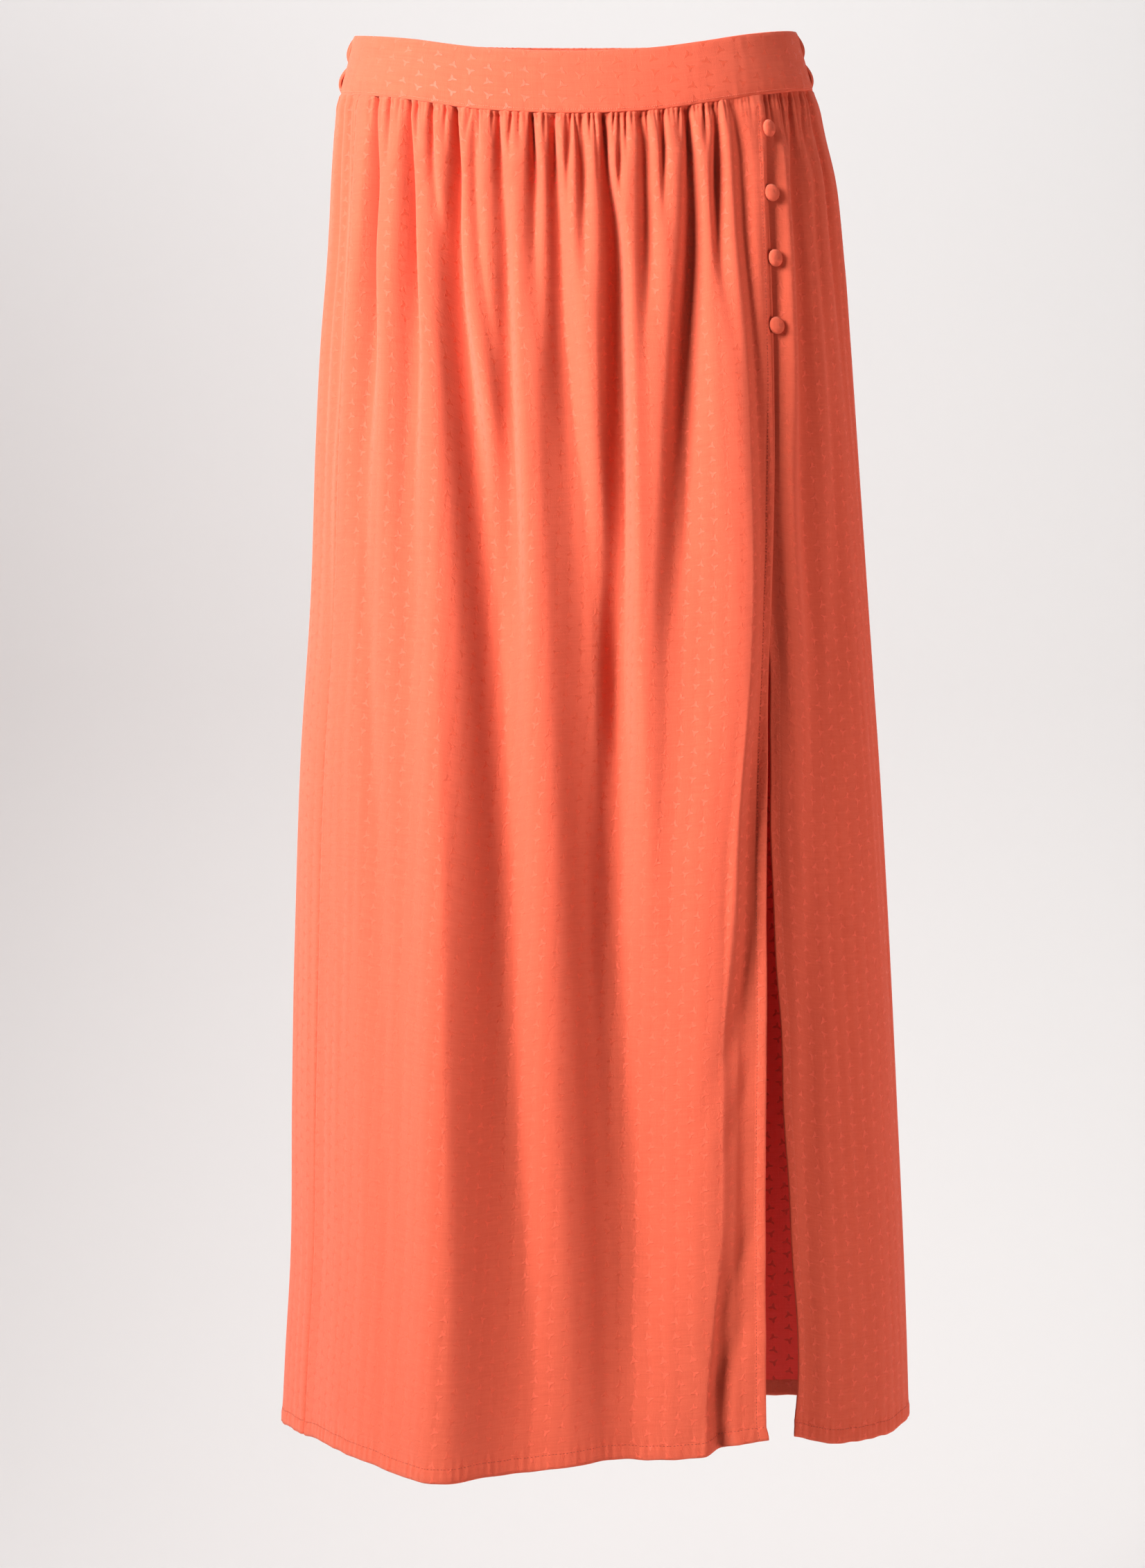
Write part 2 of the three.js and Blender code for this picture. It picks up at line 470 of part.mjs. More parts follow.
BUTTONS.forEach(({ x, z, turn }, k) => {
  let deg = angleAtX(x, z);
  let foot;
  let out;
  for (let pass = 0; pass < 12; pass++) {
    foot = cloth(deg, z, underlap);
    const b = body(deg, z);
    out = new THREE.Vector3(b.nx, b.ny, 0).applyAxisAngle(new THREE.Vector3(0, 0, 1), rad(turn));
    deg += (x - (foot.x + out.x * (UNDERLAP_DROP + 2.4))) / 4;
  }
  out.z = 0.06;
  out.normalize();
  const side = new THREE.Vector3(0, 0, 1).cross(out).normalize().negate(); // towards the placket edge
  const up = new THREE.Vector3().crossVectors(out, side);
  const basis = new THREE.Matrix4().makeBasis(side, up, out);
  const button = add("button_" + (k + 1), buttonGeometry, SHADE_COLOUR);
  button.quaternion.setFromRotationMatrix(basis);
  button.position.copy(foot).addScaledVector(out, 1.1);

  // The loop leaves the placket edge, rounds the shank and returns.
  const start = cloth(placketAngle(z), z).sub(foot).dot(side) - 0.9;
  const at = (s, t) => foot.clone().addScaledVector(side, s).addScaledVector(up, t).addScaledVector(out, UNDERLAP_DROP / 2 + 0.55);
  const reach = LOOP_REACH;
  const points = [at(start, reach * 0.75)];
  for (let i = 0; i <= 8; i++) {
    const a = Math.PI * (0.35 + (1.3 * i) / 8);
    points.push(at(Math.cos(a) * reach, Math.sin(a) * reach));
  }
  points.push(at(start, -reach * 0.75));
  const section = new THREE.Shape();
  section.absarc(0, 0, LOOP_RADIUS, 0, 2 * Math.PI, false);
  add(
    "button_loop_" + (k + 1),
    new THREE.ExtrudeGeometry(section, {
      steps: 16,
      curveSegments: 3,
      bevelEnabled: false,
      extrudePath: new THREE.CatmullRomCurve3(points),
    }),
  );
});

export default skirt;
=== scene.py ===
import math

import bpy
import numpy as np
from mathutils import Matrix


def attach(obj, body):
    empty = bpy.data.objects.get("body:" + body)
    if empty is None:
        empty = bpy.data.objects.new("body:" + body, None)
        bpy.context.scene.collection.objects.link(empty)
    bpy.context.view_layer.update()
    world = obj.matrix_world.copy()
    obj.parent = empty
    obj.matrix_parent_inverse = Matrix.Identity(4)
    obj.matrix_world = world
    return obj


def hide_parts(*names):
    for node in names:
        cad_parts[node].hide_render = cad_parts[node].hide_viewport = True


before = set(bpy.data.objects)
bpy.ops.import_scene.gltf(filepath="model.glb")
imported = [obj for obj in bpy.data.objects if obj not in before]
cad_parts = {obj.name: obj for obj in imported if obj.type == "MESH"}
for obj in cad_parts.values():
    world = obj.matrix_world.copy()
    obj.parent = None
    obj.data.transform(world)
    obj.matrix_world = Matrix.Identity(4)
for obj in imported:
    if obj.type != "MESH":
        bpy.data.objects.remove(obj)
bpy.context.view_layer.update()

# Maxi skirt. Lengths are millimetres until a mesh is made, and angles are degrees round the skirt: 0 at -X, 90 at the
# front (-Y), 180 at +X and 270 at the back.

# ---------------------------------------------------------------- the skirt's own sizes
SECTIONS = np.array([  # z, left, right, front, back
    (45, 147, 148, 97, 99), (15, 153, 155.5, 101, 103), (0, 157, 160, 105, 107), (-30, 160, 166.5, 109, 114),
    (-60, 163, 174.5, 113, 121), (-115, 166.5, 181, 119, 131), (-170, 171, 185, 123, 138), (-230, 174, 189, 126, 141),
    (-340, 177.5, 196.5, 130, 141), (-450, 184.5, 204, 134, 141), (-560, 187.4, 210, 138, 143),
    (-670, 189.3, 215.3, 142, 146), (-785, 190.7, 220.4, 147, 149), (-840, 193.9, 222.3, 149, 150),
    (-905, 197, 224, 151, 151)], float)[::-1]
EDGES = np.array([  # degrees, waist seam, band top, hem
    (0, -1, 38, -888), (45, -17, 22.5, -891), (66, -27.6, 13, -899), (90, -31.8, 9, -892), (108, -28.6, 12, -889),
    (121.5, -22, 18, -878.5), (135, -15, 25, -888), (180, 1, 40, -885), (225, 5, 45, -891), (270, 8, 48, -892),
    (315, 5, 45, -890), (360, -1, 38, -888)], float)
# Long folds and ridges, from the hem up: z, degrees, depth (less than 0 stands out), half-widths of the left and right flanks
FRONT_FOLDS = [
    [(-538, 29.7, 1, 8, 8), (-384, 25.3, 1.4, 7, 7), (-273, 22.0, 2, 6, 6), (-185, 23.6, 2.8, 6, 6), (-110, 22.4, 2.8, 5, 5), (-66, 22.6, 2.6, 4, 4), (-30, 21.8, 2, 3, 3)],
    [(-848, 53.7, 1, 12, 12), (-627, 50.2, 1.2, 10, 10), (-494, 46.8, 2.4, 8, 10), (-384, 41.2, 2.6, 7, 8), (-273, 37.0, 4.2, 10, 10), (-185, 36.2, 11, 10, 7.5), (-110, 34.7, 18, 7, 4.2), (-66, 35.5, 14, 5.2, 3.6), (-30, 34.8, 4.5, 2.5, 2.5)],
    [(-494, 55.9, 0, 12, 12), (-384, 53.6, 2.4, 12, 12), (-273, 50.9, 7, 13, 9), (-185, 50.2, 12.5, 12, 6), (-110, 47.9, 18.5, 7.4, 4.2), (-66, 47.4, 14, 5.4, 3.6), (-30, 46.7, 4.5, 2.5, 2.5)],
    [(-896, 67.8, -8.5, 22, 10), (-759, 66.4, -9.5, 22, 9.5), (-627, 64.8, -9.5, 21, 9), (-494, 63.2, -8, 19, 8.5), (-384, 60.4, -4.5, 16, 8), (-273, 57.0, 0, 14, 8)],
    [(-154, 57.1, 0, 6, 6), (-110, 56.3, 1.8, 5, 4), (-66, 54.5, 4.4, 3, 3), (-30, 53.5, 2.5, 2, 2)],
    [(-896, 78.4, 20, 24, 25), (-848, 77.9, 24, 24, 24), (-759, 76.4, 27.5, 23, 23), (-627, 74.9, 28, 20, 21), (-494, 73.6, 27.5, 18, 20), (-384, 71.0, 26, 17, 18.5), (-273, 66.2, 24, 14.5, 17), (-185, 62.6, 20.5, 11.5, 7.5), (-110, 59.9, 18, 8, 4.6), (-66, 60.4, 13, 5.2, 3.4), (-30, 60.1, 6, 2.5, 2.5)],
    [(-229, 70.5, 0, 8, 8), (-185, 69.9, 2, 5, 5), (-110, 66.1, 3.6, 4, 4), (-66, 65.3, 4.2, 3.4, 3), (-30, 65.3, 2.5, 2, 2)],
    [(-472, 76.5, 0, 8, 8), (-384, 75.7, 3, 10, 7), (-273, 74.2, 17, 13, 6.5), (-185, 73.5, 12.5, 10, 5), (-110, 72.2, 9, 7, 5), (-66, 71.3, 7.6, 5, 4.5), (-30, 70.9, 4, 2.5, 2.5)],
    [(-247, 80.0, 0, 7, 7), (-185, 80.0, 2, 9, 7), (-110, 78.7, 7.6, 6, 5), (-66, 79.0, 8.2, 4.8, 3.5), (-30, 79.1, 4, 2.5, 2.5)],
    [(-896, 95.9, 17, 40, 36), (-848, 95.8, 21.5, 40, 36), (-759, 95.8, 25.5, 39, 35), (-627, 94.4, 26, 36, 31), (-494, 92.4, 22.5, 28, 21), (-384, 91.2, 19.5, 27, 20), (-273, 88.6, 16.5, 23, 11), (-185, 85.6, 15, 12.5, 11), (-110, 84.1, 12.5, 8.5, 6), (-66, 83.5, 8.8, 4.8, 4), (-30, 83.5, 5, 2.5, 2.5)],
    [(-737, 95.1, 0, 16, 14), (-627, 95.2, 3, 16, 14), (-494, 95.9, 8.5, 15, 9.5), (-384, 94.6, 3, 10, 9), (-340, 93.9, 0, 10, 9)],
    [(-141, 86.0, 0, 3, 3), (-110, 86.0, 0.8, 3, 3), (-66, 86.4, 3.4, 2.5, 2.5), (-30, 87.1, 2.5, 1.8, 1.8)],
    [(-154, 89.6, 0, 6, 6), (-110, 89.5, 4.6, 5, 5), (-66, 90.0, 6.6, 4.2, 4), (-30, 90.2, 3.5, 2.2, 2.2)],
    [(-561, 96.5, 0, 8, 8), (-494, 97.4, 5, 10, 7), (-384, 97.3, 19, 13, 4.4), (-273, 98.0, 20, 16, 3.6), (-185, 97.8, 17.5, 13, 3.6), (-110, 97.0, 15, 9.5, 3.2), (-66, 95.3, 10, 5.4, 2.4), (-30, 95.7, 6, 2.5, 2.5)],
    [(-141, 97.2, 0, 3, 3), (-110, 97.3, 0.4, 3, 3), (-66, 97.9, 4.4, 3, 2.5), (-30, 99.0, 2.5, 1.8, 1.8)],
    [(-344, 101.4, 0, 8, 8), (-273, 102.1, 1.6, 8, 8), (-185, 102.6, 3.2, 7, 8), (-110, 103.7, 8.6, 7, 5.5), (-66, 103.7, 7.5, 5, 4.5), (-30, 104.3, 4.5, 2.5, 2.5)],
    [(-110, 107.0, 0, 4, 4), (-66, 107.8, 4.2, 3, 3), (-30, 108.7, 2.5, 2, 2)],
    [(-759, 105.2, 1.6, 10, 12), (-627, 106.0, 2.2, 10, 12), (-494, 104.7, 2.4, 10, 13), (-384, 106.6, 4.2, 12, 13), (-273, 110.7, 11.5, 15, 10), (-185, 113.1, 14.5, 13, 7), (-110, 114.9, 14.2, 10, 4.4), (-66, 114.8, 10, 6.5, 3.6), (-30, 115.2, 6, 2.5, 2.5)],
    [(-229, 120.4, 0, 6, 6), (-185, 121.1, 0.8, 6, 6), (-110, 120.3, 6.4, 5.5, 5), (-66, 121.2, 8.7, 5, 3.6), (-30, 122.7, 3.5, 2.5, 2.5)],
    [(-896, 108.2, -12, 34, 8), (-848, 108.6, -13.5, 34, 8), (-759, 110.9, -16, 33, 8), (-627, 112.4, -17, 30, 8), (-494, 115.8, -17.5, 28, 9), (-384, 120.4, -16.5, 26, 12), (-273, 123.2, -11, 26, 11), (-185, 124.2, -7.5, 22, 9), (-110, 124.8, -3, 10, 9), (-66, 124.7, -1, 8, 8)],
    [(-450, 124.1, 0, 12, 9), (-384, 125.1, 0.5, 10, 8), (-273, 126.8, 2, 8, 5), (-185, 127.2, 3.8, 8, 4), (-110, 127.0, 6.5, 8, 4.6), (-66, 127.4, 5.5, 7, 5), (-30, 128.4, 2.5, 4, 4)],
    [(-896, 112.6, 3.5, 6, 8), (-848, 112.8, 3, 6, 8), (-786, 114.6, 1.5, 5, 6), (-737, 116.2, 0, 5, 6)],
]
SIDE_FOLDS = [
    [(-583, 124.9, 0, 3, 8), (-494, 126.1, 0.5, 3, 8), (-384, 128.1, 1.6, 3, 9), (-273, 130.9, 2.6, 2.5, 10), (-185, 132.6, 3.2, 2.2, 10), (-110, 133.4, 3, 2.2, 9), (-66, 134.6, 2.2, 2.2, 7), (-30, 138.3, 1.2, 2, 3)],
    [(-583, 131.6, 0, 12, 13), (-494, 133.1, -1.4, 12, 13), (-384, 134.0, -4.2, 12, 13), (-273, 136.0, -6.0, 12, 13), (-185, 138.7, -6.0, 10, 12), (-110, 140.0, -4.6, 8, 10), (-66, 140.5, -3.2, 6, 8), (-30, 143.5, -0.8, 3, 4)],
    [(-896, 132.0, 3.2, 9, 18), (-759, 133.1, 3.2, 10, 16), (-627, 135.7, 3.2, 12, 16), (-494, 139.5, 3.2, 12, 15), (-384, 142.4, 4.8, 12, 14), (-273, 141.7, 6.6, 10, 14), (-185, 144.2, 7.4, 9, 12), (-110, 144.6, 6.6, 6.5, 9), (-66, 145.6, 6, 5, 8), (-30, 150.0, 2.5, 3, 3)],
    [(-896, 141.0, 1.8, 16, 16), (-627, 144.3, 1.8, 14, 14), (-494, 146.4, 2, 14, 14), (-384, 151.5, 2.4, 12, 12), (-273, 155.5, 2.8, 10, 10), (-185, 156.8, 2.2, 9, 9), (-110, 154.1, 2.2, 6, 6), (-66, 155.4, 1.8, 4, 4)],
    [(-384, 164, 0, 10, 10), (-185, 164.5, 2.2, 9, 9), (-100, 164, 4.2, 6, 6), (-50, 163.5, 4.0, 4, 4), (-5, 163.5, 2.0, 3, 3)],
]
BACK_FOLDS = [
    [(-896, 192, 6, 18, 20), (-627, 191, 5, 16, 18), (-384, 190, 6, 12, 14), (-200, 189, 8, 9, 8), (-110, 188.5, 8.5, 6, 5), (-50, 188, 6.5, 4.5, 3.5), (-5, 188, 3.5, 2.5, 2.5)],
    [(-896, 209, 11, 19, 26), (-627, 208, 13, 18, 24), (-384, 206, 13, 14, 18), (-200, 204, 12, 10, 9), (-110, 203, 10, 7, 5), (-50, 203, 7.5, 5, 3.5), (-5, 203.4, 4.5, 2.5, 2.5)],
    [(-500, 221, 0, 12, 12), (-300, 219, 5, 9, 8), (-180, 218, 9, 8, 6), (-100, 217.6, 9, 6, 4.5), (-50, 217.4, 7, 4.5, 3.5), (0, 217.5, 3.5, 2.5, 2.5)],
    [(-896, 238, 12, 20, 28), (-627, 236.5, 17, 19, 26), (-384, 234, 17, 14, 20), (-200, 231.5, 14, 10, 8), (-110, 230.6, 11.5, 8, 4.5), (-50, 230.6, 8.5, 5, 3.5), (3, 231, 5, 2.5, 2.5)],
    [(-420, 247, 0, 12, 12), (-280, 246, 5, 9, 9), (-180, 245, 8.5, 8, 6), (-100, 244.4, 8.6, 6, 4.5), (-50, 244.6, 7, 4.5, 3.5), (4, 244.6, 3.5, 2.5, 2.5)],
    [(-896, 262, 11, 26, 20), (-627, 261, 14, 24, 18), (-384, 259, 15, 18, 13), (-200, 257.6, 14, 9, 9), (-110, 257.4, 12, 5, 7.5), (-50, 257, 8.5, 3.5, 5), (5, 257.4, 5, 2.5, 2.5)],
    [(-360, 270.5, 0, 10, 10), (-240, 270.5, 5.5, 8, 8), (-140, 270.4, 8, 6, 5), (-60, 270, 7, 4.2, 4), (5, 270.2, 3.5, 2.5, 2.5)],
    [(-896, 284, 12, 20, 28), (-627, 284.6, 16, 18, 25), (-384, 284.6, 17, 13, 19), (-200, 283.6, 15, 10, 8), (-110, 283.2, 12, 8, 4.5), (-50, 283, 8.5, 5, 3.5), (5, 283, 5, 2.5, 2.5)],
    [(-460, 297, 0, 12, 12), (-300, 297, 5, 9, 9), (-180, 296.6, 9, 6, 8), (-100, 296.4, 9, 4.5, 6), (-50, 296.6, 7, 3.5, 4.5), (4, 296.6, 3.5, 2.5, 2.5)],
    [(-896, 308, 11, 24, 20), (-627, 308.6, 14, 22, 17), (-384, 309.6, 14, 16, 12), (-200, 310, 12.5, 9, 8), (-110, 310, 10.5, 5, 7), (-50, 310.2, 8, 3.5, 5), (3, 310.2, 4.5, 2.5, 2.5)],
    [(-420, 325, 0, 12, 12), (-280, 324, 5, 9, 9), (-180, 323.6, 8, 8, 6), (-100, 323.4, 8.6, 6, 4.5), (-50, 323.6, 7, 4.5, 3.5), (2, 323.6, 3.5, 2.5, 2.5)],
    [(-896, 338, 7, 20, 18), (-627, 337.4, 8, 18, 16), (-384, 337, 9, 14, 12), (-200, 336.6, 10.5, 9, 8), (-110, 336.4, 10, 7, 5), (-50, 336.6, 7.6, 4.5, 3.5), (0, 336.6, 4.5, 2.5, 2.5)],
    [(-896, 356, 3, 18, 16), (-560, 354, 3, 14, 13), (-384, 352, 5, 11, 10), (-200, 350.6, 8, 8, 7), (-110, 350, 8.6, 6, 5), (-50, 350, 6.6, 4.5, 3.5), (-3, 350, 3.5, 2.5, 2.5)],
    [(-600, 366, 0, 14, 14), (-384, 366, 2, 10, 10), (-200, 365, 4.5, 8, 7), (-110, 364.4, 5.6, 5, 4.5), (-50, 364, 4.6, 4, 3.5), (-6, 364, 2.5, 2.5, 2.5)],
    [(-500, 378, 0, 12, 12), (-300, 377, 1.6, 9, 9), (-150, 376, 3.4, 6, 6), (-70, 376, 4, 4, 4), (-10, 376, 2.2, 2.5, 2.5)],
]
# the last column is the side whose flank is steep: 1 for the left and -1 for the right
FOLDS = [np.array([(*k, 1 if f[len(f) // 2][3] >= f[len(f) // 2][4] or n < len(FRONT_FOLDS + SIDE_FOLDS) else -1) for k in f], float)
         for n, f in enumerate(FRONT_FOLDS + SIDE_FOLDS + BACK_FOLDS)]
SWINGS = [np.array([(-895, 46), (-640, 27), (-420, 10), (-240, 0), (-110, 0), (-20, 0)], float)]  # z and how far the front's left swells at 67 degrees
# Small gathers between them at the waist seam: degrees at the seam, degrees at the end, depth, length down, half-width
GATHERS = [
    (21.1, 25.4, 0.5, 70, 0.8), (24.1, 26.8, 0.4, 52, 0.7), (32.4, 33.1, 1, 19, 0.8), (34.3, 37.2, 2.6, 46, 0.9),
    (37.2, 37.7, 0.7, 17, 0.7), (39.9, 40.9, 3.4, 33, 0.95), (41.7, 42.1, 0.7, 15, 0.7), (43.5, 43.6, 1.6, 17, 0.8),
    (45.1, 45.4, 1, 15, 0.7), (46.7, 47.5, 2.6, 28, 1), (49.2, 50.2, 3, 25, 0.85), (50.7, 50.9, 0.8, 14, 0.7),
    (51.7, 51.9, 0.8, 14, 0.7), (53.5, 54.2, 3, 38, 1.1), (55.0, 55.1, 0.8, 13, 0.7), (56.3, 56.5, 1, 13, 0.7),
    (57.5, 57.8, 3, 23, 0.9), (58.8, 58.9, 0.9, 12, 0.7), (60.0, 61.0, 4.5, 43, 0.9), (61.9, 62.0, 1, 13, 0.7),
    (63.4, 63.2, 1, 12, 0.7), (64.3, 62.5, 1.8, 21, 0.9), (66.2, 66.3, 2.6, 33, 1), (67.4, 67.4, 1.2, 12, 0.7),
    (68.4, 68.4, 0.9, 12, 0.7), (69.6, 69.5, 2.4, 15, 0.8), (70.3, 70.2, 1, 12, 0.7), (70.9, 71.0, 2.4, 42, 1.1),
    (72.3, 72.2, 1, 11, 0.7), (73.3, 73.1, 0.8, 11, 0.7), (74.2, 73.1, 3, 28, 0.95), (75.2, 75.1, 0.9, 12, 0.7),
    (76.0, 75.9, 2.4, 20, 0.85), (77.5, 77.3, 1, 14, 0.7), (78.9, 78.8, 4, 40, 0.9), (80.3, 80.3, 1.6, 14, 0.8),
    (81.8, 81.5, 2.2, 20, 0.95), (82.7, 82.5, 1, 11, 0.7), (84.2, 82.9, 3, 39, 1.1), (85.2, 85.0, 0.9, 10, 0.7),
    (86.0, 85.7, 1, 10, 0.7), (86.8, 86.5, 0.9, 11, 0.7), (87.9, 86.4, 3.6, 29, 0.9), (88.8, 89.6, 2.2, 43, 1.3),
    (90.2, 89.8, 1.2, 12, 0.8), (91.0, 90.7, 0.9, 10, 0.7), (92.2, 91.5, 2.8, 19, 0.8), (93.2, 92.8, 1.8, 41, 1.1),
    (94.3, 93.9, 0.8, 10, 0.7), (95.2, 94.6, 4.5, 39, 0.9), (96.5, 96.0, 1.3, 14, 0.8), (97.8, 96.1, 2.4, 20, 0.85),
    (98.9, 98.4, 1.2, 13, 0.75), (99.7, 99.2, 0.8, 11, 0.7), (100.5, 98.8, 3.2, 29, 0.9),
    (101.9, 101.2, 1.5, 14, 0.8), (102.7, 102.3, 0.8, 11, 0.7), (103.4, 102.6, 1.6, 13, 0.8),
    (104.2, 103.5, 1.1, 12, 0.7), (105.5, 104.3, 2.8, 33, 1), (106.5, 105.9, 0.8, 12, 0.7),
    (107.3, 107.1, 1.2, 14, 0.8), (108.5, 107.9, 1.1, 11, 0.7), (109.7, 107.5, 3.2, 30, 0.9),
    (110.9, 110.2, 1.2, 13, 0.8), (112.1, 111.5, 1.1, 14, 0.8), (113.4, 111.7, 2.2, 18, 0.9),
    (114.4, 113.8, 0.8, 12, 0.7), (116.3, 113.7, 4.2, 39, 0.9), (117.5, 116.6, 1.2, 14, 0.7),
    (118.5, 117.7, 0.9, 12, 0.7), (120.0, 118.1, 2.8, 22, 0.85), (121.5, 120.5, 1.2, 13, 0.8),
    (122.7, 121.9, 0.9, 13, 0.7), (124.1, 120.4, 4.2, 43, 0.95), (125.7, 124.8, 1.3, 15, 0.8),
    (126.8, 125.9, 1.1, 15, 0.7), (127.4, 127.8, 1.8, 31, 1.2), (128.9, 128.0, 0.8, 17, 0.8),
    (130.2, 129.0, 0.8, 16, 0.8), (131.4, 130.2, 1, 17, 0.8), (132.5, 131.2, 0.8, 16, 0.7),
    (133.7, 132.2, 1, 17, 0.8), (140.0, 137.8, 1.6, 22, 0.8), (141.9, 138.9, 2, 29, 0.9),
    (143.7, 141.3, 1.4, 25, 0.8), (145.5, 142.8, 1.5, 28, 0.8), (147.1, 143.2, 2.6, 35, 0.9),
    (149.6, 146.3, 1.5, 29, 0.8), (152.2, 146.5, 2.4, 33, 0.9), (154.8, 150.2, 1.8, 36, 0.9),
    (158.2, 152.3, 1.6, 39, 0.9), (161.1, 155.8, 1.2, 33, 0.8), (164.7, 156.4, 1.2, 39, 0.8)]
# Drag lines that run down and away from the placket: top z, bottom z, top and bottom degrees, depth, half-width
DRAGS = [
    (-419, -534, 121.9, 115.5, 1.2, 5.5), (-538, -711, 120.9, 105.4, 1.7, 7.0), (-627, -706, 118.9, 111.6, 0.9, 4.5),
    (-724, -830, 119.0, 107.4, 1.4, 5.5), (-773, -892, 118.2, 105.4, 1.7, 6.0)]
PLACKET_TURN, HEM_TURN = 6.0, 8.6
PLACKET_EDGE = np.array([  # z, distance of the front's turned edge from the centre line
    (0, 122.2), (-20, 122.8), (-53, 124.2), (-98, 126.8), (-144, 128.4), (-189, 129.3), (-234, 129.1), (-316, 127.0),
    (-375, 124.0), (-465, 122.4), (-619, 122.0), (-804, 121.2), (-905, 122.0)], float)[::-1]
UNDER_EDGE = np.array([  # z, distance of the side front's inner edge from the centre line
    (5, 114), (-110, 116), (-200, 117.5), (-290, 119.5), (-330, 121.5), (-350, 123.4), (-362, 125.6), (-375, 127.0),
    (-435, 127.7), (-530, 128.8), (-575, 130.8), (-619, 133.2), (-664, 135.3), (-708, 138.1), (-753, 141.0), (-806, 144.2),
    (-850, 145.2), (-885, 142.4), (-905, 141.8)], float)[::-1]
LEFT_SEAM, RIGHT_SEAM, BAND_LEFT, BAND_RIGHT = 26.0, 172.0, 8.0, 172.6
UNDERLAP_DROP = 2.5
BUTTONS = [(126.9, -37, 17), (128.5, -80, 0), (130.7, -122.6, 9), (131.4, -167, 2)]  # x and z of the middle, and degrees turned to the right
BUTTON_R, BUTTON_H = 5.7, 4.3
CLOTH, TURNED = 0.8, 1.2  # one layer of cloth, and a turned edge
FULL_LENGTH = 870.0


# ---------------------------------------------------------------- curves through the tables
def curve(xs, ys, x):
    xs, ys, x = np.asarray(xs, float), np.asarray(ys, float), np.asarray(x, float)
    i = np.clip(np.searchsorted(xs, x) - 1, 0, len(xs) - 2)
    h = np.diff(xs)
    d = np.diff(ys) / h
    m = np.empty(len(xs))
    m[0], m[-1] = d[0], d[-1]
    m[1:-1] = (d[:-1] * h[1:] + d[1:] * h[:-1]) / (h[:-1] + h[1:])
    t = np.clip((x - xs[i]) / h[i], 0, 1)
    return (1 + 2 * t) * (1 - t) ** 2 * ys[i] + t * (1 - t) ** 2 * h[i] * m[i] + t * t * (3 - 2 * t) * ys[i + 1] + t * t * (t - 1) * h[i] * m[i + 1]


def smooth(a, b, x):
    t = np.clip((np.asarray(x, float) - a) / (b - a), 0, 1)
    return t * t * (3 - 2 * t)


def edge(column, deg):
    return curve(EDGES[:, 0], EDGES[:, column], np.mod(deg, 360.0))


def body(deg, z):
    left, right = (curve(SECTIONS[:, 0], SECTIONS[:, k], z) for k in (1, 2))
    c, s = np.cos(np.radians(deg)), np.sin(np.radians(deg))
    depth = np.where(s > 0, curve(SECTIONS[:, 0], SECTIONS[:, 3], z), curve(SECTIONS[:, 0], SECTIONS[:, 4], z))
    half = (left + right) / 2
    nx, ny = -c / half, -s / depth
    n = np.hypot(nx, ny)
    return (right - left) / 2 - half * c, -depth * s, nx / n, ny / n, np.radians(np.hypot(half * s, depth * c))


def turned(deg):
    return np.mod(deg + 180.0, 360.0) - 180.0


def wander(x, y, seed):
    """A slow unevenness from a few sines, between about -1 and 1."""
    out = 0
    for k in range(1, 5):
        a = math.sin(seed * 12.9 + k * 4.1)
        b = math.sin(seed * 7.3 + k * 9.7)
        out = out + np.sin(x * (0.7 + 0.9 * k + a) + y * (0.5 * k + b) + 6.28 * a * b + seed) / k
    return out / 1.8


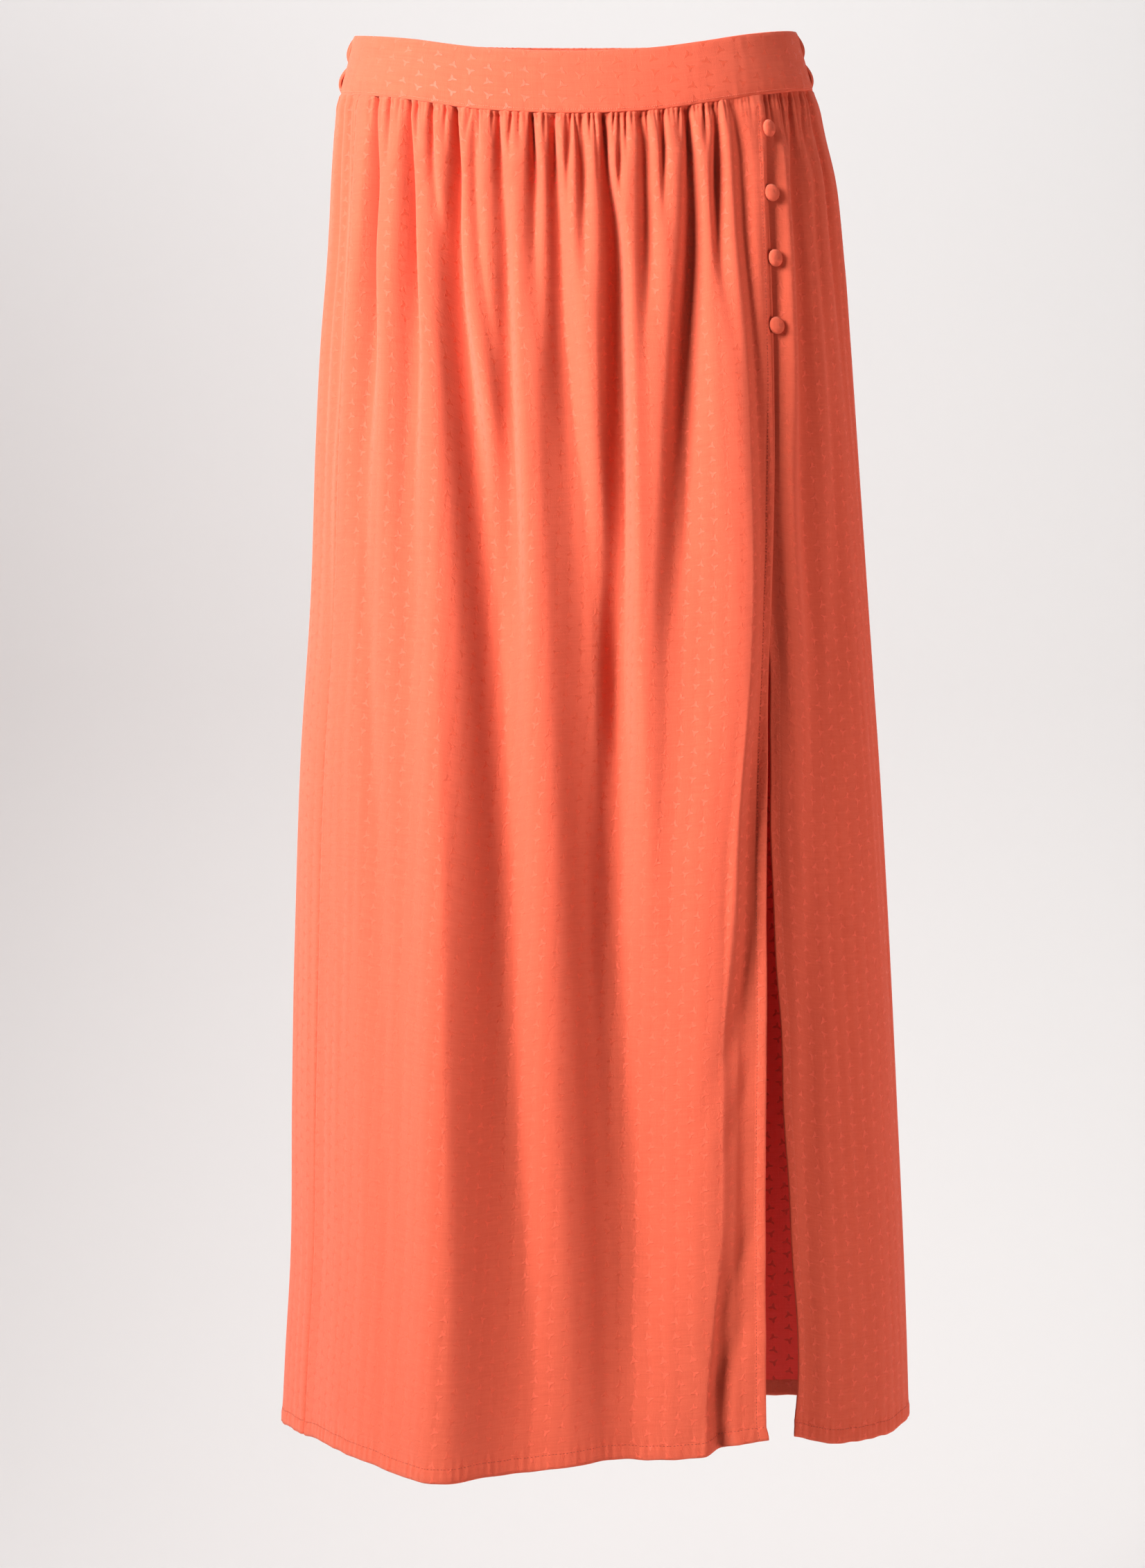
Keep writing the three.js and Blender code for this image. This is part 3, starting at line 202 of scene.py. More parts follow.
def relief(deg, z, arc, drop, strip=False):
    out = np.zeros_like(deg)
    lo, hi = deg.min() - 28, deg.max() + 28
    near = lambda a: any(lo <= a + k <= hi for k in (-360, 0, 360))
    for s in SWINGS:
        out += curve(s[::-1, 0] if s[0, 0] > s[-1, 0] else s[:, 0], s[::-1, 1] if s[0, 0] > s[-1, 0] else s[:, 1], z) * np.exp(-((turned(deg - 67) / 25) ** 2))
    start = smooth(-0.8, 3.5, drop)
    for f in FOLDS:
        if not near(f[:, 1].min()) and not near(f[:, 1].max()):
            continue
        zz = np.clip(z, f[0, 0], f[-1, 0])
        s = turned(deg - curve(f[:, 0], f[:, 1], zz)) * arc
        w = np.where(s < 0, curve(f[:, 0], f[:, 3], zz), curve(f[:, 0], f[:, 4], zz))
        # a wide flank is steep near the ridge and flattens towards the bottom
        power = 1.8 + 0.9 * smooth(7, 14, w) * (s * f[0, 5] < 0)
        out -= curve(f[:, 0], f[:, 2], zz) * (0.14 + 0.86 * start) * np.exp(-np.abs(s / w) ** power)
    gathers = BACK_GATHERS if deg.mean() > RIGHT_SEAM else GATHERS
    for at, end, deep, long, half in gathers:
        fall = np.clip(drop / (1.5 * long), 0, 1)
        s = turned(deg - at - (end - at) * fall) * arc
        wide = max(half, 1.05) * (1 + 1.6 * fall)
        out -= min(0.6 + 1.5 * deep, 5.4) * (0.6 if 124 < at < RIGHT_SEAM else 1.0) * (0.25 + 0.75 * start) * (1 - fall) ** 1.15 * np.exp(-np.abs(s / wide) ** 1.5)
    for top, bottom, a, b, deep, wide in DRAGS:
        if not near(a):
            continue
        t = (z - top) / (bottom - top)
        s = (deg - (a + (b - a) * np.clip(t, 0, 1) ** 1.15)) * arc
        out -= deep * np.sin(np.pi * np.clip(t, 0, 1)) ** 0.8 * (np.exp(-np.abs(s / wide) ** 1.7) - 0.55 * np.exp(-((s - 2.2 * wide) / (1.3 * wide)) ** 2))
    out += 0.45 * smooth(30, 200, drop) * wander(deg * 0.16, z * 0.007, 1) + 0.28 * smooth(10, 80, drop) * wander(deg * 0.45, z * 0.013, 2)
    # the cloth comes out from under the band, puffs a little below the seam, and settles
    out += -1.4 + 1.9 * smooth(-1.4, 1.4, drop) + 1.3 * smooth(0.6, 10, drop) - 1.8 * smooth(14, 90, drop)
    # the stitched strip stands out towards the placket's edge, most below the buttons
    if strip:
        away = (placket(z) - deg) * arc
        out += smooth(-390, -560, z) * (10.0 * smooth(29, 16, away) + 4.8 * smooth(15, -4, away))
        out += smooth(-30, -120, z) * 1.3 * smooth(6.6, 0.5, away)
    # the side seams lie in a shallow groove
    for at in (LEFT_SEAM, RIGHT_SEAM):
        out -= 0.75 * np.exp(-np.abs(turned(deg - at) * arc / 1.1) ** 1.5)
    return out


def back_gathers():
    rows, a, k = [], RIGHT_SEAM + 2.5, 0
    while a < 360 + LEFT_SEAM - 14:
        r1, r2, r3 = (math.modf(abs(math.sin(k * p) * 437.5))[0] for p in (12.9898, 78.233, 39.425))
        rows.append((a, a + 1.6 * (r1 - 0.5), 0.9 + 3.4 * r2 * r2, 10 + 60 * r3 ** 3, 0.8 + 0.4 * r2))
        a += 1.5 + 1.7 * r1
        k += 1
    return rows


BACK_GATHERS = back_gathers() + [g for g in GATHERS if g[0] < LEFT_SEAM]


def cloth(deg, z, drop, lift=0.0, strip=False):
    x, y, nx, ny, arc = body(deg, z)
    d = relief(deg, z, arc, drop, strip) + lift
    return np.stack([x + nx * d, y + ny * d, z], -1)


def angle_at(x, z):
    left, right = (curve(SECTIONS[:, 0], SECTIONS[:, k], z) for k in (1, 2))
    return np.degrees(np.arccos(np.clip(((right - left) / 2 - x) / ((left + right) / 2), -1, 1)))


def placket(z):
    # the strip stands out below the buttons, which moves its edge to the right, so it starts that much further left
    return angle_at(curve(PLACKET_EDGE[:, 0], PLACKET_EDGE[:, 1], z) + 2.2 * smooth(-868, -884, z) - 6.6 * smooth(-390, -560, z), z)


def normals(p):
    across = np.gradient(p, axis=1)
    down = np.gradient(p, axis=0)
    n = np.cross(down, across)
    return n / np.maximum(np.linalg.norm(n, axis=-1, keepdims=True), 1e-9)


# ---------------------------------------------------------------- meshes
def mesh_object(name, verts, faces, uv, face_mats=None, mats=(), smooth_faces=True):
    """verts (n, 3) in mm, faces (m, 4) or (m, 3), uv (n, 2) in metres."""
    me = bpy.data.meshes.new(name)
    faces = np.asarray(faces, np.int32)
    k = faces.shape[1]
    me.vertices.add(len(verts))
    me.vertices.foreach_set("co", (np.asarray(verts, np.float64) * 0.001).astype(np.float32).ravel())
    me.loops.add(faces.size)
    me.loops.foreach_set("vertex_index", faces.ravel())
    me.polygons.add(len(faces))
    me.polygons.foreach_set("loop_start", np.arange(0, faces.size, k, dtype=np.int32))
    me.polygons.foreach_set("loop_total", np.full(len(faces), k, np.int32))
    me.update(calc_edges=True)
    layer = me.uv_layers.new(name="cloth")
    layer.data.foreach_set("uv", np.asarray(uv, np.float32)[faces.ravel()].ravel())
    for m in mats:
        me.materials.append(m)
    if face_mats is not None:
        me.polygons.foreach_set("material_index", np.asarray(face_mats, np.int32))
    me.polygons.foreach_set("use_smooth", np.full(len(faces), smooth_faces))
    me.validate()
    me.update()
    ob = bpy.data.objects.new(name, me)
    bpy.context.scene.collection.objects.link(ob)
    return ob


def shell(name, p, uv, thick, mats, inner_mat):
    """A closed cloth wall under the outer grid p, with round rims. The inner face has half as many columns.
    inner_mat (rows, columns) is each inner face's slot."""
    rows, cols, _ = p.shape
    assert cols % 2 == 1
    n = normals(p)
    q = p - n * thick[..., None]
    ids = np.arange(rows * cols).reshape(rows, cols)
    a, b, c, d = ids[:-1, :-1], ids[1:, :-1], ids[1:, 1:], ids[:-1, 1:]
    outer = np.stack([a, b, c, d], -1).reshape(-1, 4)
    outer = np.concatenate([outer[:, [0, 1, 2]], outer[:, [0, 2, 3]]])
    few = ids[:, ::2] + rows * cols
    a, b, c, d = few[:-1, :-1], few[1:, :-1], few[1:, 1:], few[:-1, 1:]
    inner = np.stack([d, c, b, a], -1).reshape(-1, 4)
    inner = np.concatenate([inner[:, [0, 1, 2]], inner[:, [0, 2, 3]]])
    inner_slot = inner_mat[:, ::2].reshape(-1)
    away = np.zeros_like(p)
    away[0] += p[0] - p[1]
    away[-1] += p[-1] - p[-2]
    away[:, 0] += p[:, 0] - p[:, 1]
    away[:, -1] += p[:, -1] - p[:, -2]
    away /= np.maximum(np.linalg.norm(away, axis=2, keepdims=True), 1e-9)
    mid = (p + q) / 2 + away * thick[..., None] * 0.42
    # the rim: whole loop on the outer side, every second vertex of the top and bottom on the inner side
    top, bottom = ids[0], ids[-1]
    left, right = ids[:, 0], ids[:, -1]
    loop = np.concatenate([top[:-1], right[:-1], bottom[:0:-1], left[:0:-1]])
    skip = np.concatenate([np.arange(cols - 1) % 2 == 1, np.zeros(rows - 1, bool), np.arange(cols - 1, 0, -1) % 2 == 1, np.zeros(rows - 1, bool)])
    base = 2 * rows * cols
    m = np.arange(len(loop)) + base
    nxt = np.roll(np.arange(len(loop)), -1)
    rim1 = np.concatenate([np.stack([loop, loop[nxt], m[nxt]], -1), np.stack([loop, m[nxt], m], -1)])
    kept = np.arange(len(loop))[~skip]
    after = np.roll(kept, -1)
    rim2 = []
    for i, j in zip(kept, after):
        if (j - i) % len(loop) == 1:
            rim2 += [(m[i], m[j], loop[j] + rows * cols), (m[i], loop[j] + rows * cols, loop[i] + rows * cols)]
        else:
            k = (i + 1) % len(loop)
            rim2 += [(m[i], m[k], loop[i] + rows * cols), (m[k], m[j], loop[j] + rows * cols), (m[k], loop[j] + rows * cols, loop[i] + rows * cols)]
    rim2 = np.array(rim2)
    verts = np.concatenate([p.reshape(-1, 3), q.reshape(-1, 3), mid.reshape(-1, 3)[loop]])
    uvs = uv.reshape(-1, 2)
    uvs = np.concatenate([uvs, uvs, uvs[loop]])
    faces = np.concatenate([outer, inner, rim1, rim2])
    mat = np.concatenate([np.zeros(len(outer), int), inner_slot, inner_slot, np.zeros(len(rim1) + len(rim2), int)])
    used = np.zeros(len(verts), bool)
    used[faces.ravel()] = True
    new = np.cumsum(used) - 1
    return mesh_object(name, verts[used], new[faces], uvs[used], mat, mats)


def row_drops():
    drops, d = [-3.5, -1.6, 0.0], 0.0
    while d < FULL_LENGTH - 22:
        d += 1.6 + 10.2 * smooth(12, 190, d)
        drops.append(d)
    last = drops[-1]
    steps = 9
    for k in range(1, steps + 1):
        drops.append(last + (FULL_LENGTH - last) * k / steps)
    return np.array(drops)


DROPS = row_drops()


def panel(name, from_deg, to_deg, columns, dense=1.6, lift=lambda deg: 0.0):
    """The folded cloth between two edges, on threads evenly spread by arc but closer where the gathers are sharp."""
    samples = max(1000, columns * 4)
    share = np.linspace(0, 1, samples)[None, :]
    v = (DROPS / FULL_LENGTH)[:, None]
    z = -880 * v + 0 * share
    deg = None
    for _ in range(7):
        a, b = from_deg(z), to_deg(z)
        deg = a + (b - a) * share
        seam, hem = edge(1, deg), edge(3, deg)
        z = seam + (hem - seam) * v
    drop = seam - z
    z = z + 0.7 * smooth(0.9, 1.0, v) * wander(deg * 0.3, 0, 5)
    p = cloth(deg, z, drop, lift(deg), name == "front")
    arc = np.concatenate([np.zeros((len(v), 1)), np.cumsum(np.linalg.norm(np.diff(p, axis=1), axis=2), 1)], 1)
    length = arc[:, -1:]
    # thread places: denser where the third of the gathered rows bend sharply
    even = np.linspace(0, 1, samples)
    weight = np.zeros(samples)
    for below in (4, 12, 40, 90):
        ref = int(np.argmin(np.abs(DROPS - below)))
        tangent = np.gradient(p[ref], axis=0)
        tangent /= np.maximum(np.linalg.norm(tangent, axis=1, keepdims=True), 1e-9)
        bend = np.linalg.norm(np.gradient(tangent, axis=0), axis=1) / np.maximum(np.gradient(arc[ref]), 1e-6)
        bend = np.convolve(np.minimum(bend, 0.8), np.ones(9) / 9, "same")
        weight += np.interp(even, arc[ref] / length[ref], 1 + dense * bend / 0.3)
    cdf = np.concatenate([[0], np.cumsum((weight[1:] + weight[:-1]) / 2)])
    cdf /= cdf[-1]
    threads = np.interp(np.linspace(0, 1, columns), cdf, even)
    grid = np.empty((len(v), columns, 3))
    places = np.stack([np.interp(threads * length[r, 0], arc[r], share[0]) for r in range(len(v))])
    # in the gathers under the seam the threads run straight up
    settled = int(np.argmin(np.abs(DROPS - 7)))
    own = smooth(7, 30, DROPS)[:, None]
    places = places[settled] * (1 - own) + places * own
    for r in range(len(v)):
        for k in range(3):
            grid[r, :, k] = np.interp(places[r], share[0], p[r, :, k])
    return grid, threads


def along(line):
    """Cumulative length of a polyline."""
    return np.concatenate([[0], np.cumsum(np.linalg.norm(np.diff(line, axis=0), axis=1))])


def distances(grid):
    """Arc distance of each grid point from its row's first and last column, and from its column's last row."""
    d = np.linalg.norm(np.diff(grid, axis=1), axis=2)
    left = np.concatenate([np.zeros((grid.shape[0], 1)), np.cumsum(d, 1)], 1)
    right = left[:, -1:] - left
    d = np.linalg.norm(np.diff(grid, axis=0), axis=2)
    top = np.concatenate([np.zeros((1, grid.shape[1])), np.cumsum(d, 0)], 0)
    return left, right, top[-1:] - top


def sewn(dist, at, run, seed, pucker, share=1.0):
    """How the cloth lies within a stitched turn: a little proud, sunk along the stitches, gently puckered."""
    proud = 0.50 * smooth(at + 0.7, at - 0.7, dist)
    sunk = -0.42 * np.exp(-((dist - at) / 0.8) ** 2)
    ripple = pucker * np.exp(-(((dist - at * 0.75) / (at * 0.8)) ** 2)) * wander(run * 0.42, 0, seed)
    return share * (proud + sunk) + ripple


def finish_panel(name, node, grid, threads, width, turns, mats):
    """turns: (which edge, distance of its stitches) pairs. Returns the shell, the outer grid and its normals."""
    left, right, hem = distances(grid)
    n = normals(grid)
    run = hem.copy()
    lift = sewn(hem, HEM_TURN, left, 11, 0.30)
    thick = CLOTH + (TURNED - CLOTH) * smooth(HEM_TURN + 0.5, HEM_TURN - 0.5, hem)
    for which, at in turns:
        dist = right if which == "right" else left
        lift = lift + sewn(dist, at, run, 12 if which == "right" else 13, 0.22, 1.0 if which == "right" else 0.35)
        thick = np.maximum(thick, CLOTH + (TURNED - CLOTH) * smooth(at + 0.5, at - 0.5, dist))
    fade = smooth(-0.5, 12, DROPS)[:, None]
    grid = grid + n * (lift * fade)[..., None]
    uv = np.stack([np.broadcast_to(threads[None, :] * width * 0.001, hem.shape), hem * 0.001], -1)
    inside = np.ones((grid.shape[0] - 1, grid.shape[1] - 1), int)
    inside[hem[1:, 1:] < HEM_TURN] = 2
    ob = shell(name, grid, uv, thick, mats, inside)
    return ob, grid, normals(grid)


# ---------------------------------------------------------------- sewing thread
STITCH = None


def stitches(line, normal, pitch, size=0.30, share=0.62, sunk=0.05):
    """Vertices and faces of small tapered stitches along a polyline (n, 3) with normals (n, 3)."""
    total = along(line)
    count = int(total[-1] / pitch)
    s = (np.arange(count) + 0.5) * pitch + 0.12 * pitch * np.sin(np.arange(count) * 2.4)
    mid = np.stack([np.interp(s, total, line[:, k]) for k in range(3)], -1)
    nrm = np.stack([np.interp(s, total, normal[:, k]) for k in range(3)], -1)
    nrm /= np.linalg.norm(nrm, axis=1, keepdims=True)
    before = np.stack([np.interp(s - 0.5, total, line[:, k]) for k in range(3)], -1)
    after = np.stack([np.interp(s + 0.5, total, line[:, k]) for k in range(3)], -1)
    t = after - before
    t /= np.maximum(np.linalg.norm(t, axis=1, keepdims=True), 1e-9)
    side = np.cross(t, nrm)
    half = pitch * share / 2
    mid = mid + nrm * (size * 0.5 - sunk)
    verts, faces = [], []
    rings = [(-0.72, 0.85, -0.02), (0.72, 0.85, -0.02)]
    per = 2 + 5 * len(rings)
    for e, r, dip in rings:
        for k in range(5):
            a = 2 * math.pi * k / 5
            verts.append(mid + t * half * e + side * (size * r * math.cos(a)) + nrm * (size * r * 0.8 * math.sin(a) + dip))
    verts.insert(0, mid - t * half - nrm * size * 0.7)
    verts.append(mid + t * half - nrm * size * 0.7)
    pts = np.stack(verts, 1).reshape(-1, 3)
    tri = []
    for k in range(5):
        j = (k + 1) % 5
        tri.append((0, 1 + j, 1 + k))
        tri.append((1 + k, 1 + j, 6 + j))
        tri.append((1 + k, 6 + j, 6 + k))
        tri.append((11, 6 + k, 6 + j))
    tri = np.array(tri)
    faces = (tri[None] + (np.arange(count) * per)[:, None, None]).reshape(-1, 3)
    # face them outwards
    v = pts[faces[0]]
    c = pts[:per].mean(0)
    if np.dot(np.cross(v[1] - v[0], v[2] - v[0]), v.mean(0) - c) < 0:
        faces = faces[:, ::-1]
    return pts, faces


def stitch_object(name, lines, mat):
    """lines: (polyline, normals, pitch, size) each."""
    verts, faces, base = [], [], 0
    for line, normal, pitch, size in lines:
        v, f = stitches(line, normal, pitch, size)
        verts.append(v)
        faces.append(f + base)
        base += len(v)
    verts, faces = np.concatenate(verts), np.concatenate(faces)
    ob = mesh_object(name, verts, faces, verts[:, [0, 2]] * 0.001, mats=[mat])
    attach(ob, "root")
    return ob


def line_from_edge(grid, n, which, at, top=4.0):
    """A polyline down a panel, a given arc distance from one of its side edges."""
    left, right, hem = distances(grid)
    pts, nrm = [], []
    for r in range(grid.shape[0]):
        if DROPS[r] < top:
            continue
        d = left[r] if which == "left" else right[r][::-1]
        g = grid[r] if which == "left" else grid[r][::-1]
        m = n[r] if which == "left" else n[r][::-1]
        pts.append([np.interp(at, d, g[:, k]) for k in range(3)])
        nrm.append([np.interp(at, d, m[:, k]) for k in range(3)])
    return np.array(pts), np.array(nrm)


def line_above_hem(grid, n, at):
    _, _, hem = distances(grid)
    pts, nrm = [], []
    for c in range(grid.shape[1]):
        d = hem[::-1, c]
        pts.append([np.interp(at, d, grid[::-1, c, k]) for k in range(3)])
        nrm.append([np.interp(at, d, n[::-1, c, k]) for k in range(3)])
    return np.array(pts), np.array(nrm)


# ---------------------------------------------------------------- materials
class Nodes:
    def __init__(self, name):
        self.mat = bpy.data.materials.new(name)
        self.mat.use_nodes = True
        self.nt = self.mat.node_tree
        self.nt.nodes.clear()

    def new(self, kind, **props):
        node = self.nt.nodes.new(kind)
        for k, v in props.items():
            setattr(node, k, v)
        return node

    def put(self, socket, value):
        if isinstance(value, bpy.types.NodeSocket):
            self.nt.links.new(value, socket)
        elif value is not None:
            socket.default_value = value

    def m(self, op, a, b=None, c=None, clamp=False):
        node = self.new("ShaderNodeMath", operation=op, use_clamp=clamp)
        for s, v in zip(node.inputs, (a, b, c)):
            self.put(s, v)
        return node.outputs[0]

    def step(self, a, b, x):
        node = self.new("ShaderNodeMapRange", interpolation_type="SMOOTHSTEP")
        self.put(node.inputs["Value"], x)
        self.put(node.inputs["From Min"], a)
        self.put(node.inputs["From Max"], b)
        return node.outputs["Result"]

    def lerp(self, a, b, x):
        node = self.new("ShaderNodeMapRange", interpolation_type="LINEAR")
        self.put(node.inputs["Value"], x)
        self.put(node.inputs["To Min"], a)
        self.put(node.inputs["To Max"], b)
        return node.outputs["Result"]

    def mix(self, a, b, x):
        node = self.new("ShaderNodeMix", data_type="RGBA")
        self.put(node.inputs[0], x)
        for s, v in ((node.inputs[6], a), (node.inputs[7], b)):
            self.put(s, v if isinstance(v, bpy.types.NodeSocket) else (*v, 1.0))
        return node.outputs[2]

    def noise(self, vector, scale, detail=2.0, rough=0.5):
        node = self.new("ShaderNodeTexNoise")
        self.put(node.inputs["Vector"], vector)
        self.put(node.inputs["Scale"], scale)
        self.put(node.inputs["Detail"], detail)
        self.put(node.inputs["Roughness"], rough)
        return node.outputs["Fac"]

    def vector(self, x, y, z=0.0):
        node = self.new("ShaderNodeCombineXYZ")
        for s, v in zip(node.inputs, (x, y, z)):
            self.put(s, v)
        return node.outputs[0]

    def thread_place(self):
        """U across and V along the cloth, in millimetres."""
        uv = self.new("ShaderNodeUVMap", uv_map="cloth")
        sep = self.new("ShaderNodeSeparateXYZ")
        self.put(sep.inputs[0], uv.outputs[0])
        return self.m("MULTIPLY", sep.outputs[0], 1000.0), self.m("MULTIPLY", sep.outputs[1], 1000.0)

    def finish(self, color, rough, height, distance, sheen, spec, sheen_rough=0.45, strength=1.0, sheen_tint=(1, 0.6, 0.45), metal=0.0):
        bsdf = self.new("ShaderNodeBsdfPrincipled")
        out = self.new("ShaderNodeOutputMaterial")
        self.put(bsdf.inputs["Base Color"], color)
        self.put(bsdf.inputs["Roughness"], rough)
        bsdf.inputs["Specular IOR Level"].default_value = spec
        bsdf.inputs["Sheen Weight"].default_value = sheen
        bsdf.inputs["Sheen Roughness"].default_value = sheen_rough
        bsdf.inputs["Sheen Tint"].default_value = (*sheen_tint, 1.0)
        if height is not None:
            bump = self.new("ShaderNodeBump")
            bump.inputs["Strength"].default_value = strength
            bump.inputs["Distance"].default_value = distance
            self.put(bump.inputs["Height"], height)
            self.nt.links.new(bump.outputs[0], bsdf.inputs["Normal"])
        self.nt.links.new(bsdf.outputs[0], out.inputs[0])
        return self.mat


# The small woven figure: three-pointed, upright once and hanging twice in each 30 mm of a column, columns 11.5 mm
# apart and every other one half a repeat lower. Millimetres.
COLUMN, REPEAT, TIP = 11.7, 30.2, 2.95


def figure(g, u, v):
    """1 on the satin figure, 0 on the ground."""
    ju = g.m("ADD", u, 4600.0)
    col = g.m("FLOOR", g.m("DIVIDE", ju, COLUMN))
    x = g.m("SUBTRACT", g.m("SUBTRACT", ju, g.m("MULTIPLY", col, COLUMN)), COLUMN / 2)
    odd = g.m("MODULO", col, 2.0)
    y = g.m("MODULO", g.m("ADD", g.m("ADD", v, 3000.0), g.m("MULTIPLY", odd, REPEAT / 2)), REPEAT)
    second = g.m("GREATER_THAN", y, 7.4)
    third = g.m("GREATER_THAN", y, 16.3)
    centre = g.m("ADD", g.m("ADD", 3.0, g.m("MULTIPLY", second, 8.8)), g.m("MULTIPLY", third, 9.2))
    flip = g.m("SUBTRACT", 1.0, g.m("MULTIPLY", second, 2.0))
    yl = g.m("MULTIPLY", g.m("SUBTRACT", centre, y), flip)
    xl = g.m("MULTIPLY", x, g.m("SUBTRACT", 1.0, g.m("MULTIPLY", third, 2.0)))
    a = math.radians(13)
    xr = g.m("DIVIDE", g.m("ADD", g.m("MULTIPLY", xl, math.cos(a)), g.m("MULTIPLY", yl, math.sin(a))), 1.3)
    yr = g.m("SUBTRACT", g.m("MULTIPLY", yl, math.cos(a)), g.m("MULTIPLY", xl, math.sin(a)))
    r = g.m("SQRT", g.m("ADD", g.m("MULTIPLY", xr, xr), g.m("MULTIPLY", yr, yr)))
    angle = g.m("ARCTAN2", xr, yr)
    lobe = g.m("SUBTRACT", 1.0, g.m("ABSOLUTE", g.m("SINE", g.m("MULTIPLY", angle, 1.5))))
    reach = g.m("MULTIPLY", g.m("ADD", 0.32, g.m("MULTIPLY", g.m("POWER", lobe, 1.1), 0.68)), TIP)
    return g.step(-0.18, 0.18, g.m("SUBTRACT", reach, r))


def cloth_material(name, ground, satin, face=True, extra_bump=0.0, motif=1.0, tight=0.5, rough=(0.72, 0.50), spec=0.30, sheen=0.25):
    g = Nodes(name)
    u, v = g.thread_place()
    # threads are never quite straight
    drift = g.m("MULTIPLY", g.m("SUBTRACT", g.noise(g.vector(g.m("MULTIPLY", u, 0.02), g.m("MULTIPLY", v, 0.02)), 1.0), 0.5), 1.6)
    uu, vv = g.m("ADD", u, drift), g.m("ADD", v, drift)
    fig = figure(g, uu, vv)
    slub_v = g.noise(g.vector(g.m("MULTIPLY", u, 1.1), g.m("MULTIPLY", v, 0.035)), 1.0, 3.0, 0.6)
    slub_u = g.noise(g.vector(g.m("MULTIPLY", u, 0.035), g.m("MULTIPLY", v, 0.9), 7.0), 1.0, 3.0, 0.65)
    cloud = g.noise(g.vector(g.m("MULTIPLY", u, 0.012), g.m("MULTIPLY", v, 0.009), 3.0), 1.0, 3.0, 0.55)
    tone = g.m("ADD", g.m("MULTIPLY", g.m("SUBTRACT", slub_v, 0.5), 0.65), g.m("MULTIPLY", g.m("SUBTRACT", slub_u, 0.5), 1.35))
    tone = g.m("ADD", tone, g.m("MULTIPLY", g.m("SUBTRACT", cloud, 0.5), 0.14))
    shade = g.m("ADD", 0.5, tone, clamp=True)
    dark = tuple(c * k for c, k in zip(ground, (0.90, 0.80, 0.76)))
    light = tuple(min(1, c * k) for c, k in zip(ground, (1.06, 1.17, 1.2)))
    base = g.mix(dark, light, shade)
    color = g.mix(base, satin, g.m("MULTIPLY", fig, 0.85 * motif))
    # plain weave: warp over weft
    warp = g.m("SINE", g.m("MULTIPLY", uu, 2 * math.pi / 0.44))
    weft = g.m("SINE", g.m("MULTIPLY", vv, 2 * math.pi / 0.50))
    weave = g.m("MULTIPLY", warp, weft)
    weave = g.m("MULTIPLY", weave, g.m("SUBTRACT", 1.0, g.m("MULTIPLY", fig, 0.75)))
    crepe = g.noise(g.vector(g.m("MULTIPLY", u, 0.55), g.m("MULTIPLY", v, 0.4), 1.0), 1.0, 3.0, 0.6)
    height = g.m("ADD", g.m("MULTIPLY", weave, 0.09), g.m("MULTIPLY", fig, 0.17 if face else -0.08))
    height = g.m("ADD", height, g.m("MULTIPLY", slub_v, 0.14))
    height = g.m("ADD", height, g.m("MULTIPLY", slub_u, 0.16))
    height = g.m("ADD", height, g.m("MULTIPLY", crepe, 0.32 + extra_bump))
    # the figures' floats draw the cloth in a little along their columns
    place = g.m("SUBTRACT", g.m("MULTIPLY", g.m("FRACT", g.m("DIVIDE", g.m("ADD", uu, 4600.0), COLUMN)), COLUMN), COLUMN / 2)
    drawn = g.m("EXPONENT", g.m("MULTIPLY", g.m("MULTIPLY", place, place), -0.16))
    pull = g.noise(g.vector(g.m("MULTIPLY", u, 0.35), g.m("MULTIPLY", v, 0.16), 5.0), 1.0, 2.0, 0.6)
    height = g.m("SUBTRACT", height, g.m("MULTIPLY", g.m("MULTIPLY", drawn, pull), tight * motif))
    r = g.lerp(rough[0], rough[1], g.m("MULTIPLY", fig, motif))
    return g.finish(color, r, height, 0.001, sheen, spec)


def thread_material(name, colour):
    g = Nodes(name)
    co = g.new("ShaderNodeTexCoord")
    n = g.noise(co.outputs["Object"], 900.0, 3.0, 0.6)
    ply = g.noise(co.outputs["Object"], 4200.0, 2.0, 0.5)
    color = g.mix(tuple(c * 0.7 for c in colour), tuple(min(1, c * 1.2) for c in colour), n)
    return g.finish(color, g.lerp(0.45, 0.75, ply), ply, 0.0002, 0.2, 0.3)


GROUND = (0.70, 0.104, 0.050)
SATIN = (0.60, 0.084, 0.040)
FACE = cloth_material("cloth_face", GROUND, SATIN, rough=(0.72, 0.66))
# the reverse is the cloth's own red, but painted brighter and deeper than the face: painted light standing in for light
# that comes through the thin cloth
BACK = cloth_material("cloth_reverse_painted_light", (0.97, 0.082, 0.066), (0.48, 0.044, 0.032), face=False, rough=(0.8, 0.7), spec=0.1, sheen=0.0)
TURN = cloth_material("cloth_turning", (0.60, 0.085, 0.045), (0.50, 0.062, 0.032), rough=(0.76, 0.5), spec=0.25, sheen=0.15)
BAND = cloth_material("band_cloth", GROUND, SATIN, extra_bump=-0.06, tight=0.2, rough=(0.72, 0.52))
ELASTIC = cloth_material("elastic_band_cloth", (0.63, 0.098, 0.048), SATIN, extra_bump=0.1)
COVER = cloth_material("button_cloth", (0.64, 0.100, 0.049), SATIN, extra_bump=-0.1, motif=0.4)
# placket, hem and elastic thread is painted much darker than the cloth: painted shade of the sunk needle holes along
# the stitches
PAINTED_SHADE_THREAD = thread_material("sewing_thread", (0.36, 0.042, 0.022))
BAND_THREAD = thread_material("band_sewing_thread", (0.80, 0.18, 0.105))
CORD = thread_material("loop_cord_thread", (0.36, 0.042, 0.022))

